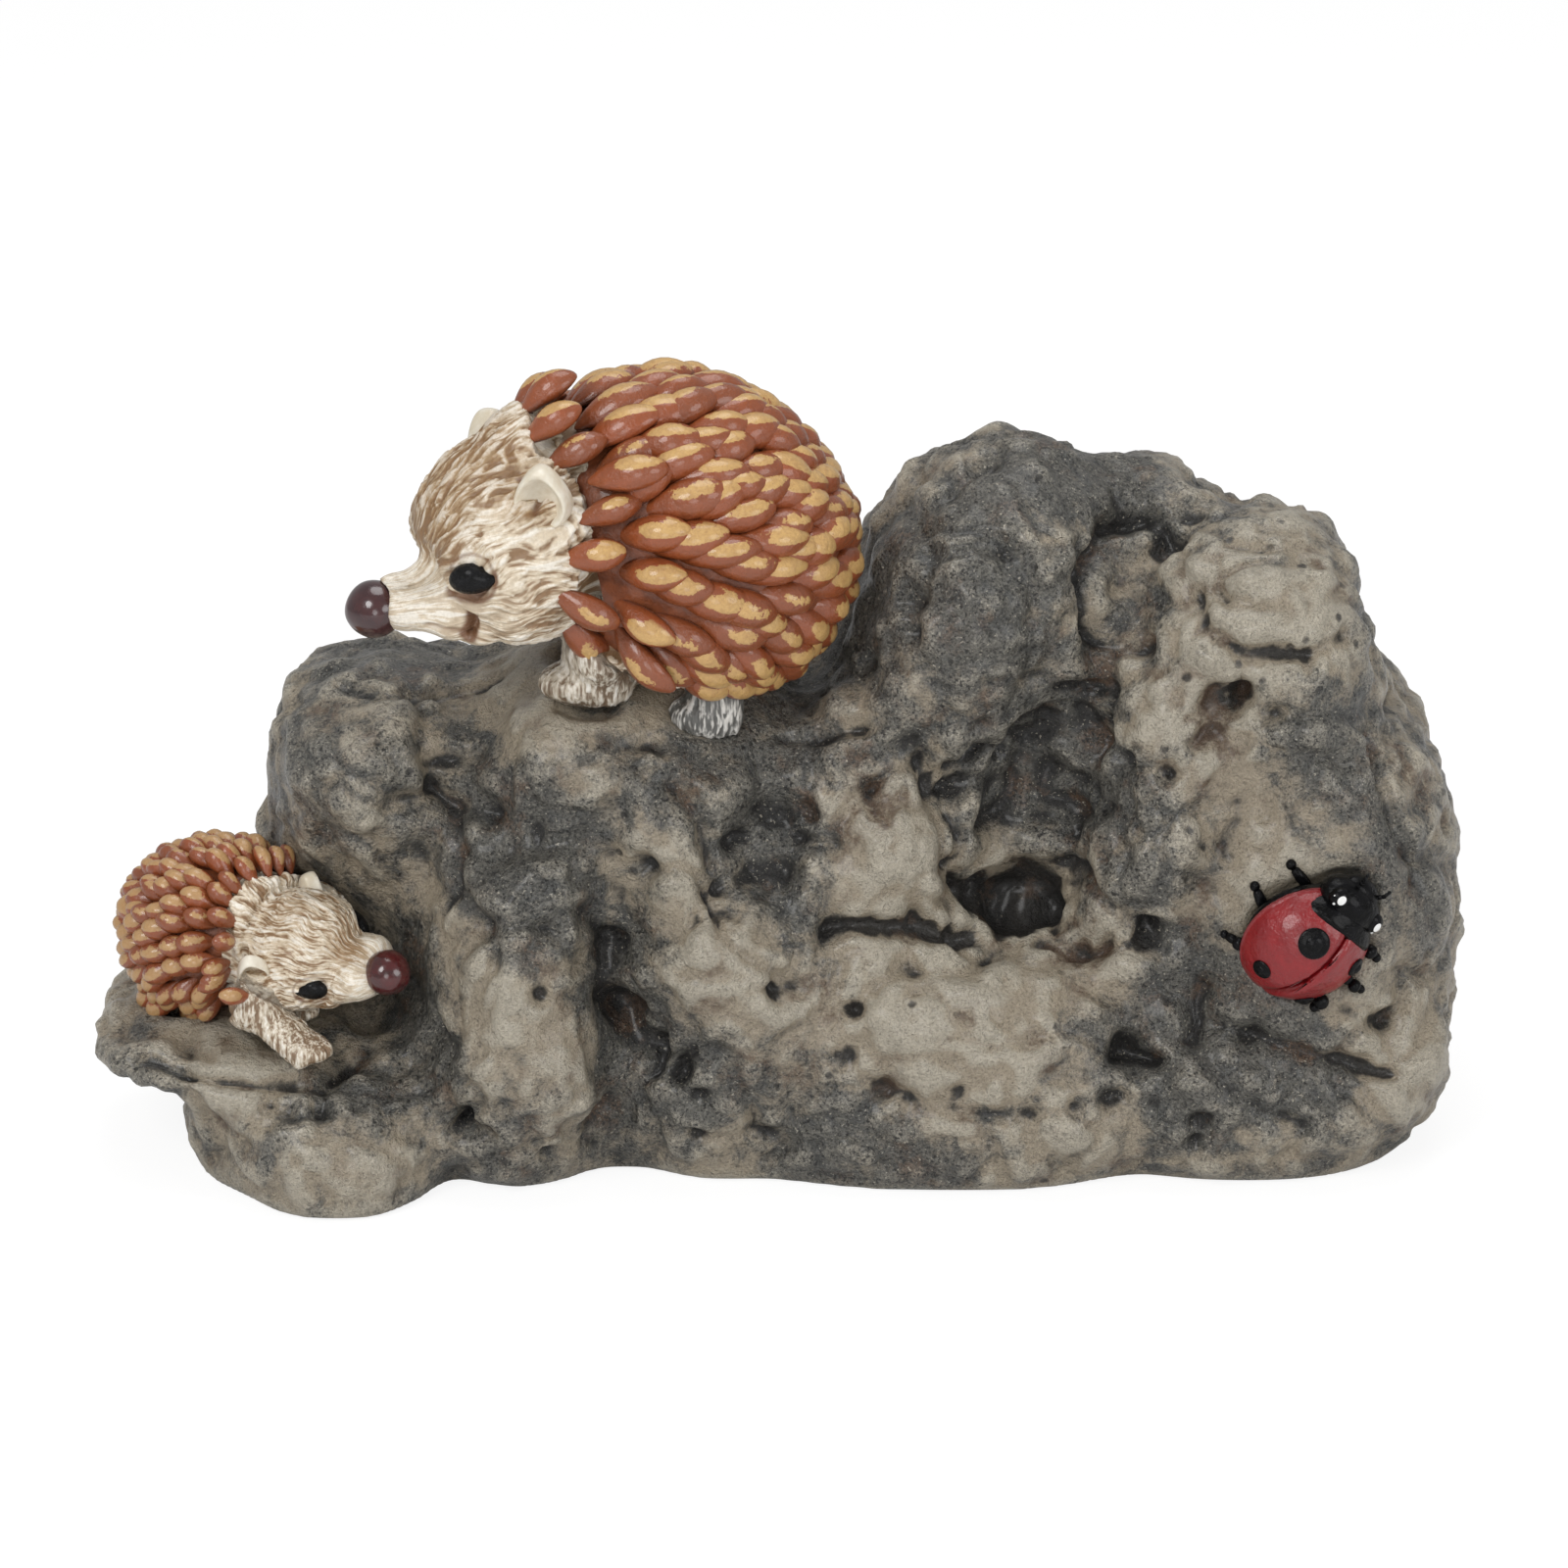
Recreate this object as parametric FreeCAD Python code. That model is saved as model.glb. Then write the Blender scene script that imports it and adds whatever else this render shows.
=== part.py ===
import FreeCAD, Part
import math
import os

# Hedgehog figurine: a mother hedgehog, her young and a ladybird, each cast in parts and
# bonded into seats in a pitted rock casting that stands on its flat underside.
# Row frame: +X to the right and +Y to the back as seen from the front, +Z up.
# The origin lies in the underside of the rock. Lengths are in millimetres, angles in degrees.

Vector = FreeCAD.Vector

# Rock casting
ROCK_LENGTH = 200.0
ROCK_DEPTH = 88.0
ROCK_HEIGHT = 100.0
ROCK_STATIONS = 76
ROCK_POINTS = 64
SKIN_DEGREE = 3
BLEND_SHARPNESS = 19.0
LUMP_POWER = 2.35
RAY_STEP = 2.5
RAY_HALVINGS = 12
FIRST_STATION_SHARE = 0.04
FAR_FROM_ROCK_SHARE = -1.0
ROCK_AXIS_SHARES = ((-0.5, -0.15, 0.16), (-0.36, 0.06, 0.20), (0.5, 0.05, 0.30))
SOCKET_DEPTH = 2.6
OVERRUN = 20.0

# Lumps that swell into the rock: centre, then radii, in shares of its length, depth and height
ROCK_LUMP_SHARES = (
    (-0.400, -0.130, 0.170, 0.102, 0.260, 0.055),
    (-0.355, -0.110, 0.040, 0.080, 0.300, 0.130),
    (-0.315, -0.260, 0.060, 0.078, 0.250, 0.140),
    (-0.292, 0.000, 0.550, 0.084, 0.290, 0.135),
    (-0.265, 0.100, 0.300, 0.078, 0.260, 0.330),
    (-0.190, -0.165, 0.240, 0.082, 0.270, 0.330),
    (-0.110, 0.025, 0.385, 0.180, 0.360, 0.340),
    (-0.140, -0.150, 0.590, 0.070, 0.185, 0.110),
    (-0.120, -0.090, 0.160, 0.080, 0.240, 0.300),
    (-0.045, -0.170, 0.220, 0.082, 0.240, 0.290),
    (0.145, 0.045, 0.620, 0.108, 0.300, 0.375),
    (0.255, 0.136, 0.755, 0.078, 0.205, 0.190),
    (0.331, -0.011, 0.708, 0.088, 0.273, 0.206),
    (0.370, 0.000, 0.310, 0.122, 0.345, 0.350),
    (0.330, -0.091, 0.120, 0.145, 0.310, 0.190),
    (0.110, -0.165, 0.120, 0.185, 0.250, 0.220),
    (0.260, -0.091, 0.460, 0.065, 0.230, 0.300),
    (0.060, -0.080, 0.450, 0.110, 0.235, 0.200),
    (-0.200, 0.159, 0.270, 0.160, 0.295, 0.300),
    (0.050, 0.182, 0.320, 0.170, 0.295, 0.340),
    (0.300, 0.159, 0.340, 0.170, 0.295, 0.380),
)
# Swells above 0 and hollows below it: centre, radii, then height, in the same shares
ROCK_RELIEF_SHARES = (
    (0.178, -0.330, 0.570, 0.060, 0.200, 0.130, -0.610),
    (0.172, -0.380, 0.420, 0.042, 0.150, 0.050, -0.320),
    (0.070, -0.430, 0.400, 0.075, 0.150, 0.024, -0.170),
    (-0.005, -0.380, 0.465, 0.036, 0.150, 0.050, -0.220),
    (0.015, -0.360, 0.560, 0.026, 0.130, 0.036, -0.170),
    (0.075, -0.360, 0.560, 0.036, 0.140, 0.050, -0.120),
    (-0.118, -0.400, 0.300, 0.020, 0.150, 0.280, -0.190),
    (-0.085, -0.430, 0.220, 0.030, 0.150, 0.050, -0.190),
    (-0.245, -0.400, 0.430, 0.026, 0.160, 0.160, -0.230),
    (-0.270, -0.430, 0.250, 0.036, 0.160, 0.080, -0.170),
    (0.315, -0.360, 0.720, 0.030, 0.130, 0.040, -0.250),
    (0.225, -0.260, 0.840, 0.018, 0.140, 0.100, -0.190),
    (0.250, -0.080, 0.960, 0.030, 0.110, 0.050, -0.220),
    (0.375, -0.400, 0.190, 0.065, 0.150, 0.025, -0.170),
    (0.268, -0.410, 0.350, 0.030, 0.140, 0.040, -0.140),
    (-0.200, -0.360, 0.560, 0.050, 0.150, 0.050, -0.120),
    (0.145, -0.320, 0.800, 0.058, 0.150, 0.120, 0.160),
    (0.145, -0.440, 0.810, 0.034, 0.120, 0.065, -0.130),
    (0.105, -0.400, 0.310, 0.120, 0.160, 0.075, 0.130),
    (0.205, -0.410, 0.350, 0.050, 0.140, 0.030, 0.100),
    (0.070, -0.400, 0.500, 0.050, 0.140, 0.040, 0.130),
    (-0.106, -0.400, 0.505, 0.045, 0.140, 0.070, 0.140),
    (-0.050, -0.400, 0.380, 0.045, 0.140, 0.080, 0.140),
    (0.250, -0.360, 0.715, 0.045, 0.140, 0.070, 0.130),
    (0.390, -0.320, 0.620, 0.060, 0.150, 0.090, 0.120),
    (0.445, -0.250, 0.140, 0.050, 0.160, 0.070, 0.140),
    (-0.184, -0.420, 0.190, 0.070, 0.160, 0.100, 0.130),
    (-0.170, -0.340, 0.650, 0.050, 0.150, 0.070, 0.120),
    (-0.070, -0.380, 0.610, 0.045, 0.140, 0.060, 0.120),
    (0.193, 0.050, 0.980, 0.045, 0.150, 0.050, 0.090),
    (0.245, 0.050, 0.940, 0.036, 0.130, 0.050, 0.140),
    (-0.396, -0.390, 0.140, 0.050, 0.150, 0.080, 0.120),
    (-0.310, -0.260, 0.620, 0.050, 0.160, 0.060, 0.090),
    (0.020, -0.440, 0.140, 0.060, 0.150, 0.070, -0.120),
    (0.200, -0.450, 0.080, 0.070, 0.150, 0.060, 0.090),
    (-0.320, 0.350, 0.300, 0.060, 0.160, 0.100, 0.130),
    (-0.200, 0.420, 0.450, 0.060, 0.160, 0.120, -0.160),
    (-0.080, 0.430, 0.250, 0.070, 0.160, 0.100, 0.130),
    (0.020, 0.420, 0.520, 0.050, 0.160, 0.100, -0.190),
    (0.120, 0.430, 0.300, 0.060, 0.160, 0.090, -0.130),
    (0.160, 0.380, 0.720, 0.060, 0.160, 0.110, 0.130),
    (0.240, 0.420, 0.450, 0.060, 0.160, 0.100, 0.130),
    (0.330, 0.400, 0.700, 0.050, 0.160, 0.080, -0.160),
    (0.380, 0.380, 0.300, 0.060, 0.160, 0.120, -0.160),
    (0.420, 0.250, 0.550, 0.050, 0.160, 0.080, 0.120),
)

# Mother hedgehog
MOTHER_PLACE_SHARES = (-0.072, -0.115)
MOTHER_STANDING_HEIGHT = 19.8
MOTHER_YAW = 190.0
MOTHER_NOSE_UP = 0.0
MOTHER_ROLL = 0.0
MOTHER_TORSO_LENGTH = 45.0
MOTHER_TORSO_WIDTH = 35.0
MOTHER_TORSO_HEIGHT = 38.0
MOTHER_TORSO_ARCH = 35.0
MOTHER_COAT_THICKNESS = 1.5
MOTHER_HAIRLINE = 40.0
MOTHER_LAST_ROW = 152.0
MOTHER_BELLY_DROP = 17.5
MOTHER_QUILL_ROWS = 8
MOTHER_QUILL_WIDTH = 5.6
MOTHER_QUILL_THICKNESS = 2.4
MOTHER_HEAD_YAW = 8.0
MOTHER_HEAD_DROOP = 7.0
MOTHER_HEAD_REACH = 23.0
MOTHER_HEAD_RISE = 5.5
MOTHER_HEAD_LENGTH = 29.0
MOTHER_HEAD_WIDTH = 30.0
MOTHER_HEAD_HEIGHT = 28.5
MOTHER_NOSE_REACH = 44.8
MOTHER_NOSE_WIDTH = 7.6
MOTHER_EYE_WIDTH = 5.4
MOTHER_EYE_BEARING = 50.0
MOTHER_EYE_RISE = 0.0
MOTHER_EAR_WIDTH = 8.0
MOTHER_EAR_BEARING = 98.0
MOTHER_EAR_RISE = 43.0
MOTHER_ANKLE_WIDTH = 7.0
MOTHER_FORELEG_REACH = 12.0
MOTHER_FORELEG_SPREAD = 7.5
MOTHER_FORELEG_LEAN = 4.0
MOTHER_HIND_LEG_REACH = -3.5
MOTHER_HIND_LEG_SPREAD = 7.5
MOTHER_HIND_LEG_LEAN = 0.0

# Young hedgehog
YOUNG_PLACE_SHARES = (-0.4065, -0.159)
YOUNG_STANDING_HEIGHT = 9.8
YOUNG_YAW = -29.3
YOUNG_NOSE_UP = -4.3
YOUNG_ROLL = 27.0
YOUNG_TORSO_LENGTH = 23.6
YOUNG_TORSO_WIDTH = 20.6
YOUNG_TORSO_HEIGHT = 20.6
YOUNG_TORSO_ARCH = 20.0
YOUNG_COAT_THICKNESS = 0.9
YOUNG_HAIRLINE = 47.0
YOUNG_LAST_ROW = 152.0
YOUNG_BELLY_DROP = 8.5
YOUNG_QUILL_ROWS = 7
YOUNG_QUILL_WIDTH = 3.8
YOUNG_QUILL_THICKNESS = 1.6
YOUNG_HEAD_YAW = 0.0
YOUNG_HEAD_DROOP = 0.0
YOUNG_HEAD_REACH = 14.0
YOUNG_HEAD_RISE = 0.5
YOUNG_HEAD_LENGTH = 17.0
YOUNG_HEAD_WIDTH = 17.0
YOUNG_HEAD_HEIGHT = 16.0
YOUNG_NOSE_REACH = 28.3
YOUNG_NOSE_WIDTH = 6.0
YOUNG_EYE_WIDTH = 3.6
YOUNG_EYE_BEARING = 44.0
YOUNG_EYE_RISE = 4.0
YOUNG_EAR_WIDTH = 5.0
YOUNG_EAR_BEARING = 105.0
YOUNG_EAR_RISE = 22.0
YOUNG_ANKLE_WIDTH = 4.6
YOUNG_FORELEG_REACH = 8.0
YOUNG_FORELEG_SPREAD = 7.2
YOUNG_FORELEG_LEAN = 40.0
YOUNG_HIND_LEG_REACH = -3.0
YOUNG_HIND_LEG_SPREAD = 7.0
YOUNG_HIND_LEG_LEAN = 0.0

# Proportions that both hedgehogs share
EYE_DEPTH_SHARE = 0.6
EYE_HEIGHT_SHARE = 0.8
EAR_DEPTH_SHARE = 0.36
EAR_BOWL_SHARE = 0.72
EAR_TURN = 35.0
SNOUT_ROOT_SHARE = 0.58
SNOUT_TIP_SHARE = 0.84
HIP_SHARE = 1.4
PAW_SIZE_SHARES = (1.45, 1.15, 0.85)
PAW_FORWARD_SHARE = 0.2
STRAIGHT_DOWN = -90.0
SIDE_SEAM = 90.0
BACK_SEAM = 180.0

# Quill outline, root to tip: place along the quill, width and height at that place
QUILL_SECTION_SHARES = (
    (0.00, 0.48, 0.30),
    (0.30, 0.82, 0.62),
    (0.62, 1.00, 1.00),
    (0.86, 0.62, 0.72),
    (1.00, 0.14, 0.24),
)
QUILL_REACH_SHARE = 1.95
QUILL_LIFT = 14.0
FEWEST_QUILLS = 3
RING_SAMPLES = 72

# Ladybird
LADYBIRD_PLACE_SHARES = (0.366, 0.375)
LADYBIRD_HEADING = 44.0
LADYBIRD_LENGTH = 18.4
LADYBIRD_HEIGHT = 8.2
LADYBIRD_SINK = 0.6
LADYBIRD_BODY_WIDTH = 17.0
LADYBIRD_BODY_HEIGHT = 1.4
LADYBIRD_SEAT_DEPTH = 2.4
LADYBIRD_SEAM_WIDTH = 0.5
LADYBIRD_PRONOTUM_REACH = 7.0
LADYBIRD_PRONOTUM_WIDTH = 11.0
LADYBIRD_HEAD_REACH = 12.0
LADYBIRD_HEAD_WIDTH = 7.2
LADYBIRD_EYE_WIDTH = 2.0
LADYBIRD_EYE_BEARING = 85.0
LADYBIRD_EYE_RISE = 50.0
LADYBIRD_FRONT_SPOT_WIDTH = 4.4
LADYBIRD_REAR_SPOT_WIDTH = 3.2
LADYBIRD_SPOT_HEIGHT = 0.35
LADYBIRD_SPOT_DEPTH = 0.8
LADYBIRD_FRONT_SPOT_BEARING = 47.0
LADYBIRD_FRONT_SPOT_RISE = 58.0
LADYBIRD_REAR_SPOT_BEARING = 140.0
LADYBIRD_REAR_SPOT_RISE = 40.0
LADYBIRD_LEG_BEARINGS = (52.0, 92.0, 132.0)
LADYBIRD_LEG_REACH = 11.4
LADYBIRD_LEG_WIDTH = 2.6
LADYBIRD_LEG_DROP = 1.4
LADYBIRD_ANTENNA_LENGTH = 2.8
LADYBIRD_ANTENNA_WIDTH = 1.0
LADYBIRD_ANTENNA_BEARING = 50.0


class Animal:
    """The sizes above whose names begin with a prefix, such as MOTHER_, as one set."""

    def __init__(self, prefix):
        for name, value in globals().items():
            if name.startswith(prefix):
                setattr(self, name[len(prefix):].lower(), value)


def ellipsoid(length, width, height, seam=0):
    """An ellipsoid whose skin meets itself at the bearing seam, best kept clear of later cuts."""
    ball = Part.makeSphere(1)
    ball.rotate(Vector(), Vector(0, 0, 1), seam)
    stretch = FreeCAD.Matrix()
    stretch.scale(length / 2, width / 2, height / 2)
    return ball.transformGeometry(stretch)


def placed(shape, placement):
    copy = shape.copy()
    copy.Placement = placement.multiply(copy.Placement)
    return copy


def at(shape, place):
    return placed(shape, FreeCAD.Placement(place, FreeCAD.Rotation()))


def leaning(yaw, nose_up, roll):
    """A rotation that heads +X along yaw, lifts it by nose_up and rolls the top to the right."""
    return FreeCAD.Rotation(yaw, -nose_up, roll)


def toward(bearing, rise):
    """Unit vector at a bearing from +X to +Y and a rise above that plane."""
    b = math.radians(bearing)
    r = math.radians(rise)
    return Vector(math.cos(b) * math.cos(r), math.sin(b) * math.cos(r), math.sin(r))


def surface_reach(way, sizes):
    """Distance from an ellipsoid's centre to its surface along a unit vector."""
    return 1 / math.sqrt(sum((2 * c / size) ** 2 for c, size in zip(way, sizes)))


# The rock's own shape

def lump_distance(point, lump, power):
    """Distance of a point from a lump's centre, in radii of that lump."""
    return sum(abs((point[k] - lump[k]) / lump[k + 3]) ** power for k in range(3)) ** (1 / power)


def rock_field(point):
    """Positive inside the rock and negative outside."""
    shares = (point.x / ROCK_LENGTH, point.y / ROCK_DEPTH, point.z / ROCK_HEIGHT)
    swell = sum(
        math.exp(BLEND_SHARPNESS * (1 - lump_distance(shares, lump, LUMP_POWER)))
        for lump in ROCK_LUMP_SHARES
    )
    height = sum(
        form[-1] * math.exp(-lump_distance(shares, form, 2) ** 2)
        for form in ROCK_RELIEF_SHARES
    )
    return math.log(swell) / BLEND_SHARPNESS + height


def first_change(start, way):
    """How far a ray runs before it crosses the rock's surface."""

    def inside(reach):
        return rock_field(start + way * reach) > 0

    begins_inside = inside(0)
    high = RAY_STEP
    while inside(high) == begins_inside and high < 2 * ROCK_LENGTH:
        high += RAY_STEP
    low = high - RAY_STEP
    for _ in range(RAY_HALVINGS):
        middle = (low + high) / 2
        if inside(middle) == begins_inside:
            low = middle
        else:
            high = middle
    return low


def rock_top(x, y):
    """Height of the rock's surface above the place (x, y)."""
    sky = ROCK_HEIGHT + OVERRUN
    return sky - first_change(Vector(x, y, sky), Vector(0, 0, -1))


def rock_front(x, z):
    """The point of the rock's front at (x, z)."""
    start = Vector(x, -ROCK_DEPTH, z)
    return start + Vector(0, 1, 0) * first_change(start, Vector(0, 1, 0))


def rock_normal(point):
    """Outward direction of the rock's surface near a point."""
    axes = (Vector(1, 0, 0), Vector(0, 1, 0), Vector(0, 0, 1))
    slope = [rock_field(point - a * RAY_STEP) - rock_field(point + a * RAY_STEP) for a in axes]
    return Vector(*slope).normalize()


def in_rock_sizes(shares):
    return Vector(shares[0] * ROCK_LENGTH, shares[1] * ROCK_DEPTH, shares[2] * ROCK_HEIGHT)


def rock_axis(x):
    """Point of the bent line inside the rock that its skin is drawn around."""
    points = [in_rock_sizes(shares) for shares in ROCK_AXIS_SHARES]
    start, end = points[:2] if x < points[1].x else points[1:]
    return start + (end - start) * ((x - start.x) / (end.x - start.x))


def skin_reach(centre, way):
    """Distance from the rock's axis to its skin along a unit vector, found from outside."""
    outside = ROCK_HEIGHT + OVERRUN
    return outside - first_change(centre + way * outside, -way)


def under_skin(point):
    """True for a point that the rock's skin encloses, also in the shade of an overhang."""
    if rock_field(point) < FAR_FROM_ROCK_SHARE:
        return False
    centre = rock_axis(point.x)
    away = point - centre
    return away.Length < skin_reach(centre, Vector(away).normalize())


def rock_ring(centre):
    """Points of the rock's skin around its axis, across its length."""
    ring = []
    for step in range(ROCK_POINTS):
        turn = 2 * math.pi * step / ROCK_POINTS
        way = Vector(0, math.cos(turn), math.sin(turn))
        ring.append(centre + way * skin_reach(centre, way))
    return ring


def rock_blank():
    """The rock before its underside and seats are cut: one smooth skin and two end faces."""
    left, bend, right = [in_rock_sizes(shares) for shares in ROCK_AXIS_SHARES]
    leftward = (left - bend).normalize()
    rightward = (right - bend).normalize()
    left_x = bend.x + leftward.x * first_change(bend, leftward)
    right_x = bend.x + rightward.x * first_change(bend, rightward)
    rings = []
    for station in range(ROCK_STATIONS):
        along = station / (ROCK_STATIONS - 1)
        turn = FIRST_STATION_SHARE + (1 - 2 * FIRST_STATION_SHARE) * along
        share = (1 - math.cos(math.pi * turn)) / 2
        rings.append(rock_ring(rock_axis(left_x + (right_x - left_x) * share)))
    spans = ROCK_STATIONS - SKIN_DEGREE
    skin = Part.BSplineSurface()
    skin.buildFromPolesMultsKnots(
        rings,
        [SKIN_DEGREE + 1] + [1] * (spans - 1) + [SKIN_DEGREE + 1],
        [1] * (ROCK_POINTS + 1),
        [float(k) for k in range(spans + 1)],
        [float(k) for k in range(ROCK_POINTS + 1)],
        False, True, SKIN_DEGREE, SKIN_DEGREE,
    )
    side = skin.toShape()
    ends = [Part.Face(Part.Wire([edge])) for edge in side.Edges if edge.isClosed()]
    shell = Part.makeShell([side, *ends])
    shell.sewShape()
    return Part.Solid(shell)


def ground():
    """Everything under the plane that the rock stands on."""
    length = ROCK_LENGTH + 2 * OVERRUN
    depth = ROCK_DEPTH + 2 * OVERRUN
    return Part.makeBox(length, depth, ROCK_HEIGHT, Vector(-length / 2, -depth / 2, -ROCK_HEIGHT))


# Hedgehogs: +X to the nose, +Y to the left side, +Z up, origin at the torso's centre

def body_placement(s):
    x = s.place_shares[0] * ROCK_LENGTH
    y = s.place_shares[1] * ROCK_DEPTH
    z = rock_top(x, y) + s.standing_height
    return FreeCAD.Placement(Vector(x, y, z), leaning(s.yaw, s.nose_up, s.roll))


def head_placement(s):
    return FreeCAD.Placement(Vector(), leaning(s.head_yaw, -s.head_droop, 0))


def torso_sizes(s, proud):
    return [size + 2 * proud for size in (s.torso_length, s.torso_width, s.torso_height)]


def torso_blank(s, proud):
    """The arched torso, grown by proud all round."""
    arched = FreeCAD.Placement(Vector(), leaning(0, s.torso_arch, 0))
    return placed(ellipsoid(*torso_sizes(s, proud), SIDE_SEAM), arched)


def coat_blank(s):
    """The skin that carries the quills: a shell over the torso, open at face and belly."""
    reach = s.torso_length + OVERRUN
    spread = reach * math.tan(math.radians(s.hairline))
    face = placed(Part.makeCone(0, spread, reach, Vector(), Vector(1, 0, 0)), head_placement(s))
    corner = Vector(-reach, -reach, -s.belly_drop - reach)
    belly = Part.makeBox(2 * reach, 2 * reach, reach, corner)
    return torso_blank(s, s.coat_thickness).cut([torso_blank(s, 0), face, belly])


def coat_point(s, polar, turn):
    """Point and outward normal of the coat at a polar angle from the nose and a turn from the top."""
    way = Vector(math.cos(polar), math.sin(polar) * math.sin(turn), math.sin(polar) * math.cos(turn))
    way = head_placement(s).Rotation.multVec(way)
    arch = leaning(0, s.torso_arch, 0)
    local = arch.inverted().multVec(way)
    sizes = torso_sizes(s, s.coat_thickness)
    normal = Vector(*[c / size ** 2 for c, size in zip(local, sizes)]).normalize()
    return way * surface_reach(local, sizes), arch.multVec(normal)


def quill_shape(length, width, thickness):
    """One quill along +X with its flat side down and its root at the origin."""
    outlines = []
    for along, wide, high in QUILL_SECTION_SHARES:
        left = Vector(along * length, -wide * width / 2, 0)
        right = Vector(along * length, wide * width / 2, 0)
        crest = Vector(along * length, 0, high * thickness)
        base = Part.LineSegment(right, left).toShape()
        outlines.append(Part.Wire([base, Part.Arc(left, crest, right).toShape()]))
    return Part.makeLoft(outlines, True, True)


def row_step(s):
    return math.radians(s.last_row - s.hairline) / (s.quill_rows - 1)


def ring_points(s, polar):
    """Evenly turned points of the coat's ring at a polar angle, the first one repeated last."""
    turns = [2 * math.pi * k / RING_SAMPLES for k in range(RING_SAMPLES + 1)]
    return turns, [coat_point(s, polar, turn)[0] for turn in turns]


def ring_length(s, polar):
    _, points = ring_points(s, polar)
    return sum((there - here).Length for here, there in zip(points, points[1:]))


def ring_turns(s, polar, count, offset):
    """Turns that space count quills evenly along the coat's ring at a polar angle."""
    turns, points = ring_points(s, polar)
    lengths = [0]
    for here, there in zip(points, points[1:]):
        lengths.append(lengths[-1] + (there - here).Length)
    spaced = []
    sample = 0
    for k in range(count):
        goal = lengths[-1] * (k + offset) / count
        while lengths[sample + 1] < goal:
            sample += 1
        part = (goal - lengths[sample]) / (lengths[sample + 1] - lengths[sample])
        spaced.append(turns[sample] + part * turns[1])
    return spaced


def segment_distance(point, start, end):
    """Distance of a point from the straight line between start and end."""
    line = end - start
    share = 0
    if line.Length > 0:
        share = min(1, max(0, (point - start).dot(line) / line.dot(line)))
    return (point - start - line * share).Length


def quill_is_free(placement, length, thickness, obstacles):
    """True where a quill meets neither the rock nor any obstacle: two ends and a radius."""
    for along in (0, length / 2, length):
        for height in (-thickness / 2, thickness):
            point = placement.multVec(Vector(along, 0, height))
            if under_skin(point):
                return False
            if any(segment_distance(point, a, b) < radius for a, b, radius in obstacles):
                return False
    return True


def quill_row(s, body, row, obstacles):
    """The quills of one row, each rooted on the coat and pointing away from the face."""
    polar = math.radians(s.hairline) + row * row_step(s)
    mean_radius = (s.torso_width + s.torso_height) / 4 + s.coat_thickness
    length = QUILL_REACH_SHARE * row_step(s) * mean_radius
    widest = polar + QUILL_SECTION_SHARES[2][0] * length / mean_radius
    room = ring_length(s, min(widest, math.pi - row_step(s)))
    count = max(FEWEST_QUILLS, int(room / s.quill_width))
    quill = quill_shape(length, min(s.quill_width, room / count), s.quill_thickness)
    lift = FreeCAD.Rotation(Vector(0, 1, 0), -QUILL_LIFT)
    quills = []
    for turn in ring_turns(s, polar, count, (row % 2) / 2):
        point, normal = coat_point(s, polar, turn)
        flow = coat_point(s, polar + row_step(s) / 2, turn)[0] - point
        flow = (flow - normal * flow.dot(normal)).normalize()
        facing = FreeCAD.Rotation(flow, normal.cross(flow), normal, "ZXY")
        local = FreeCAD.Placement(point, facing.multiply(lift))
        tip = local.multVec(Vector(length, 0, 0))
        placement = body.multiply(local)
        if min(point.z, tip.z) < -s.belly_drop:
            continue
        if quill_is_free(placement, length, s.quill_thickness, obstacles):
            quills.append(placed(quill, placement))
    return quills


def head_sizes(s):
    return (s.head_length, s.head_width, s.head_height)


def on_head(s, bearing, rise):
    """Point of the cranium at a bearing from the nose and a rise above its middle."""
    way = toward(bearing, rise)
    return Vector(s.head_reach, 0, s.head_rise) + way * surface_reach(way, head_sizes(s))


def head_blank(s):
    cranium = at(ellipsoid(*head_sizes(s), BACK_SEAM), Vector(s.head_reach, 0, s.head_rise))
    root = Vector(s.head_reach + s.head_length / 4, 0, s.head_rise / 4)
    line = Vector(s.nose_reach, 0, 0) - root
    root_radius = SNOUT_ROOT_SHARE * s.head_width / 2
    tip_radius = SNOUT_TIP_SHARE * s.nose_width / 2
    return cranium.fuse(Part.makeCone(root_radius, tip_radius, line.Length, root, line))


def eye_blank(s, side):
    bearing = side * s.eye_bearing
    turned = FreeCAD.Rotation(Vector(1, 0, 0), toward(bearing, s.eye_rise))
    shape = ellipsoid(EYE_DEPTH_SHARE * s.eye_width, s.eye_width, EYE_HEIGHT_SHARE * s.eye_width)
    return placed(shape, FreeCAD.Placement(on_head(s, bearing, s.eye_rise), turned))


def ear_blank(s, side):
    """A shallow cup that opens forward."""
    depth = EAR_DEPTH_SHARE * s.ear_width
    bowl = EAR_BOWL_SHARE * s.ear_width
    cup = ellipsoid(depth, s.ear_width, s.ear_width)
    cup = cup.cut(at(ellipsoid(depth, bowl, bowl), Vector(depth / 2, 0, 0)))
    turned = FreeCAD.Rotation(Vector(0, 0, 1), side * EAR_TURN)
    return placed(cup, FreeCAD.Placement(on_head(s, side * s.ear_bearing, s.ear_rise), turned))


def leg_line(s, body, reach, spread, lean):
    """Hip and foot of a leg in the row frame; the foot lies on the rock."""
    hip = body.multVec(Vector(reach, spread, 0))
    heading = FreeCAD.Rotation(Vector(0, 0, 1), s.yaw)
    way = heading.multVec(toward(0, STRAIGHT_DOWN + lean))
    return hip, hip + way * first_change(hip, way)


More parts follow.
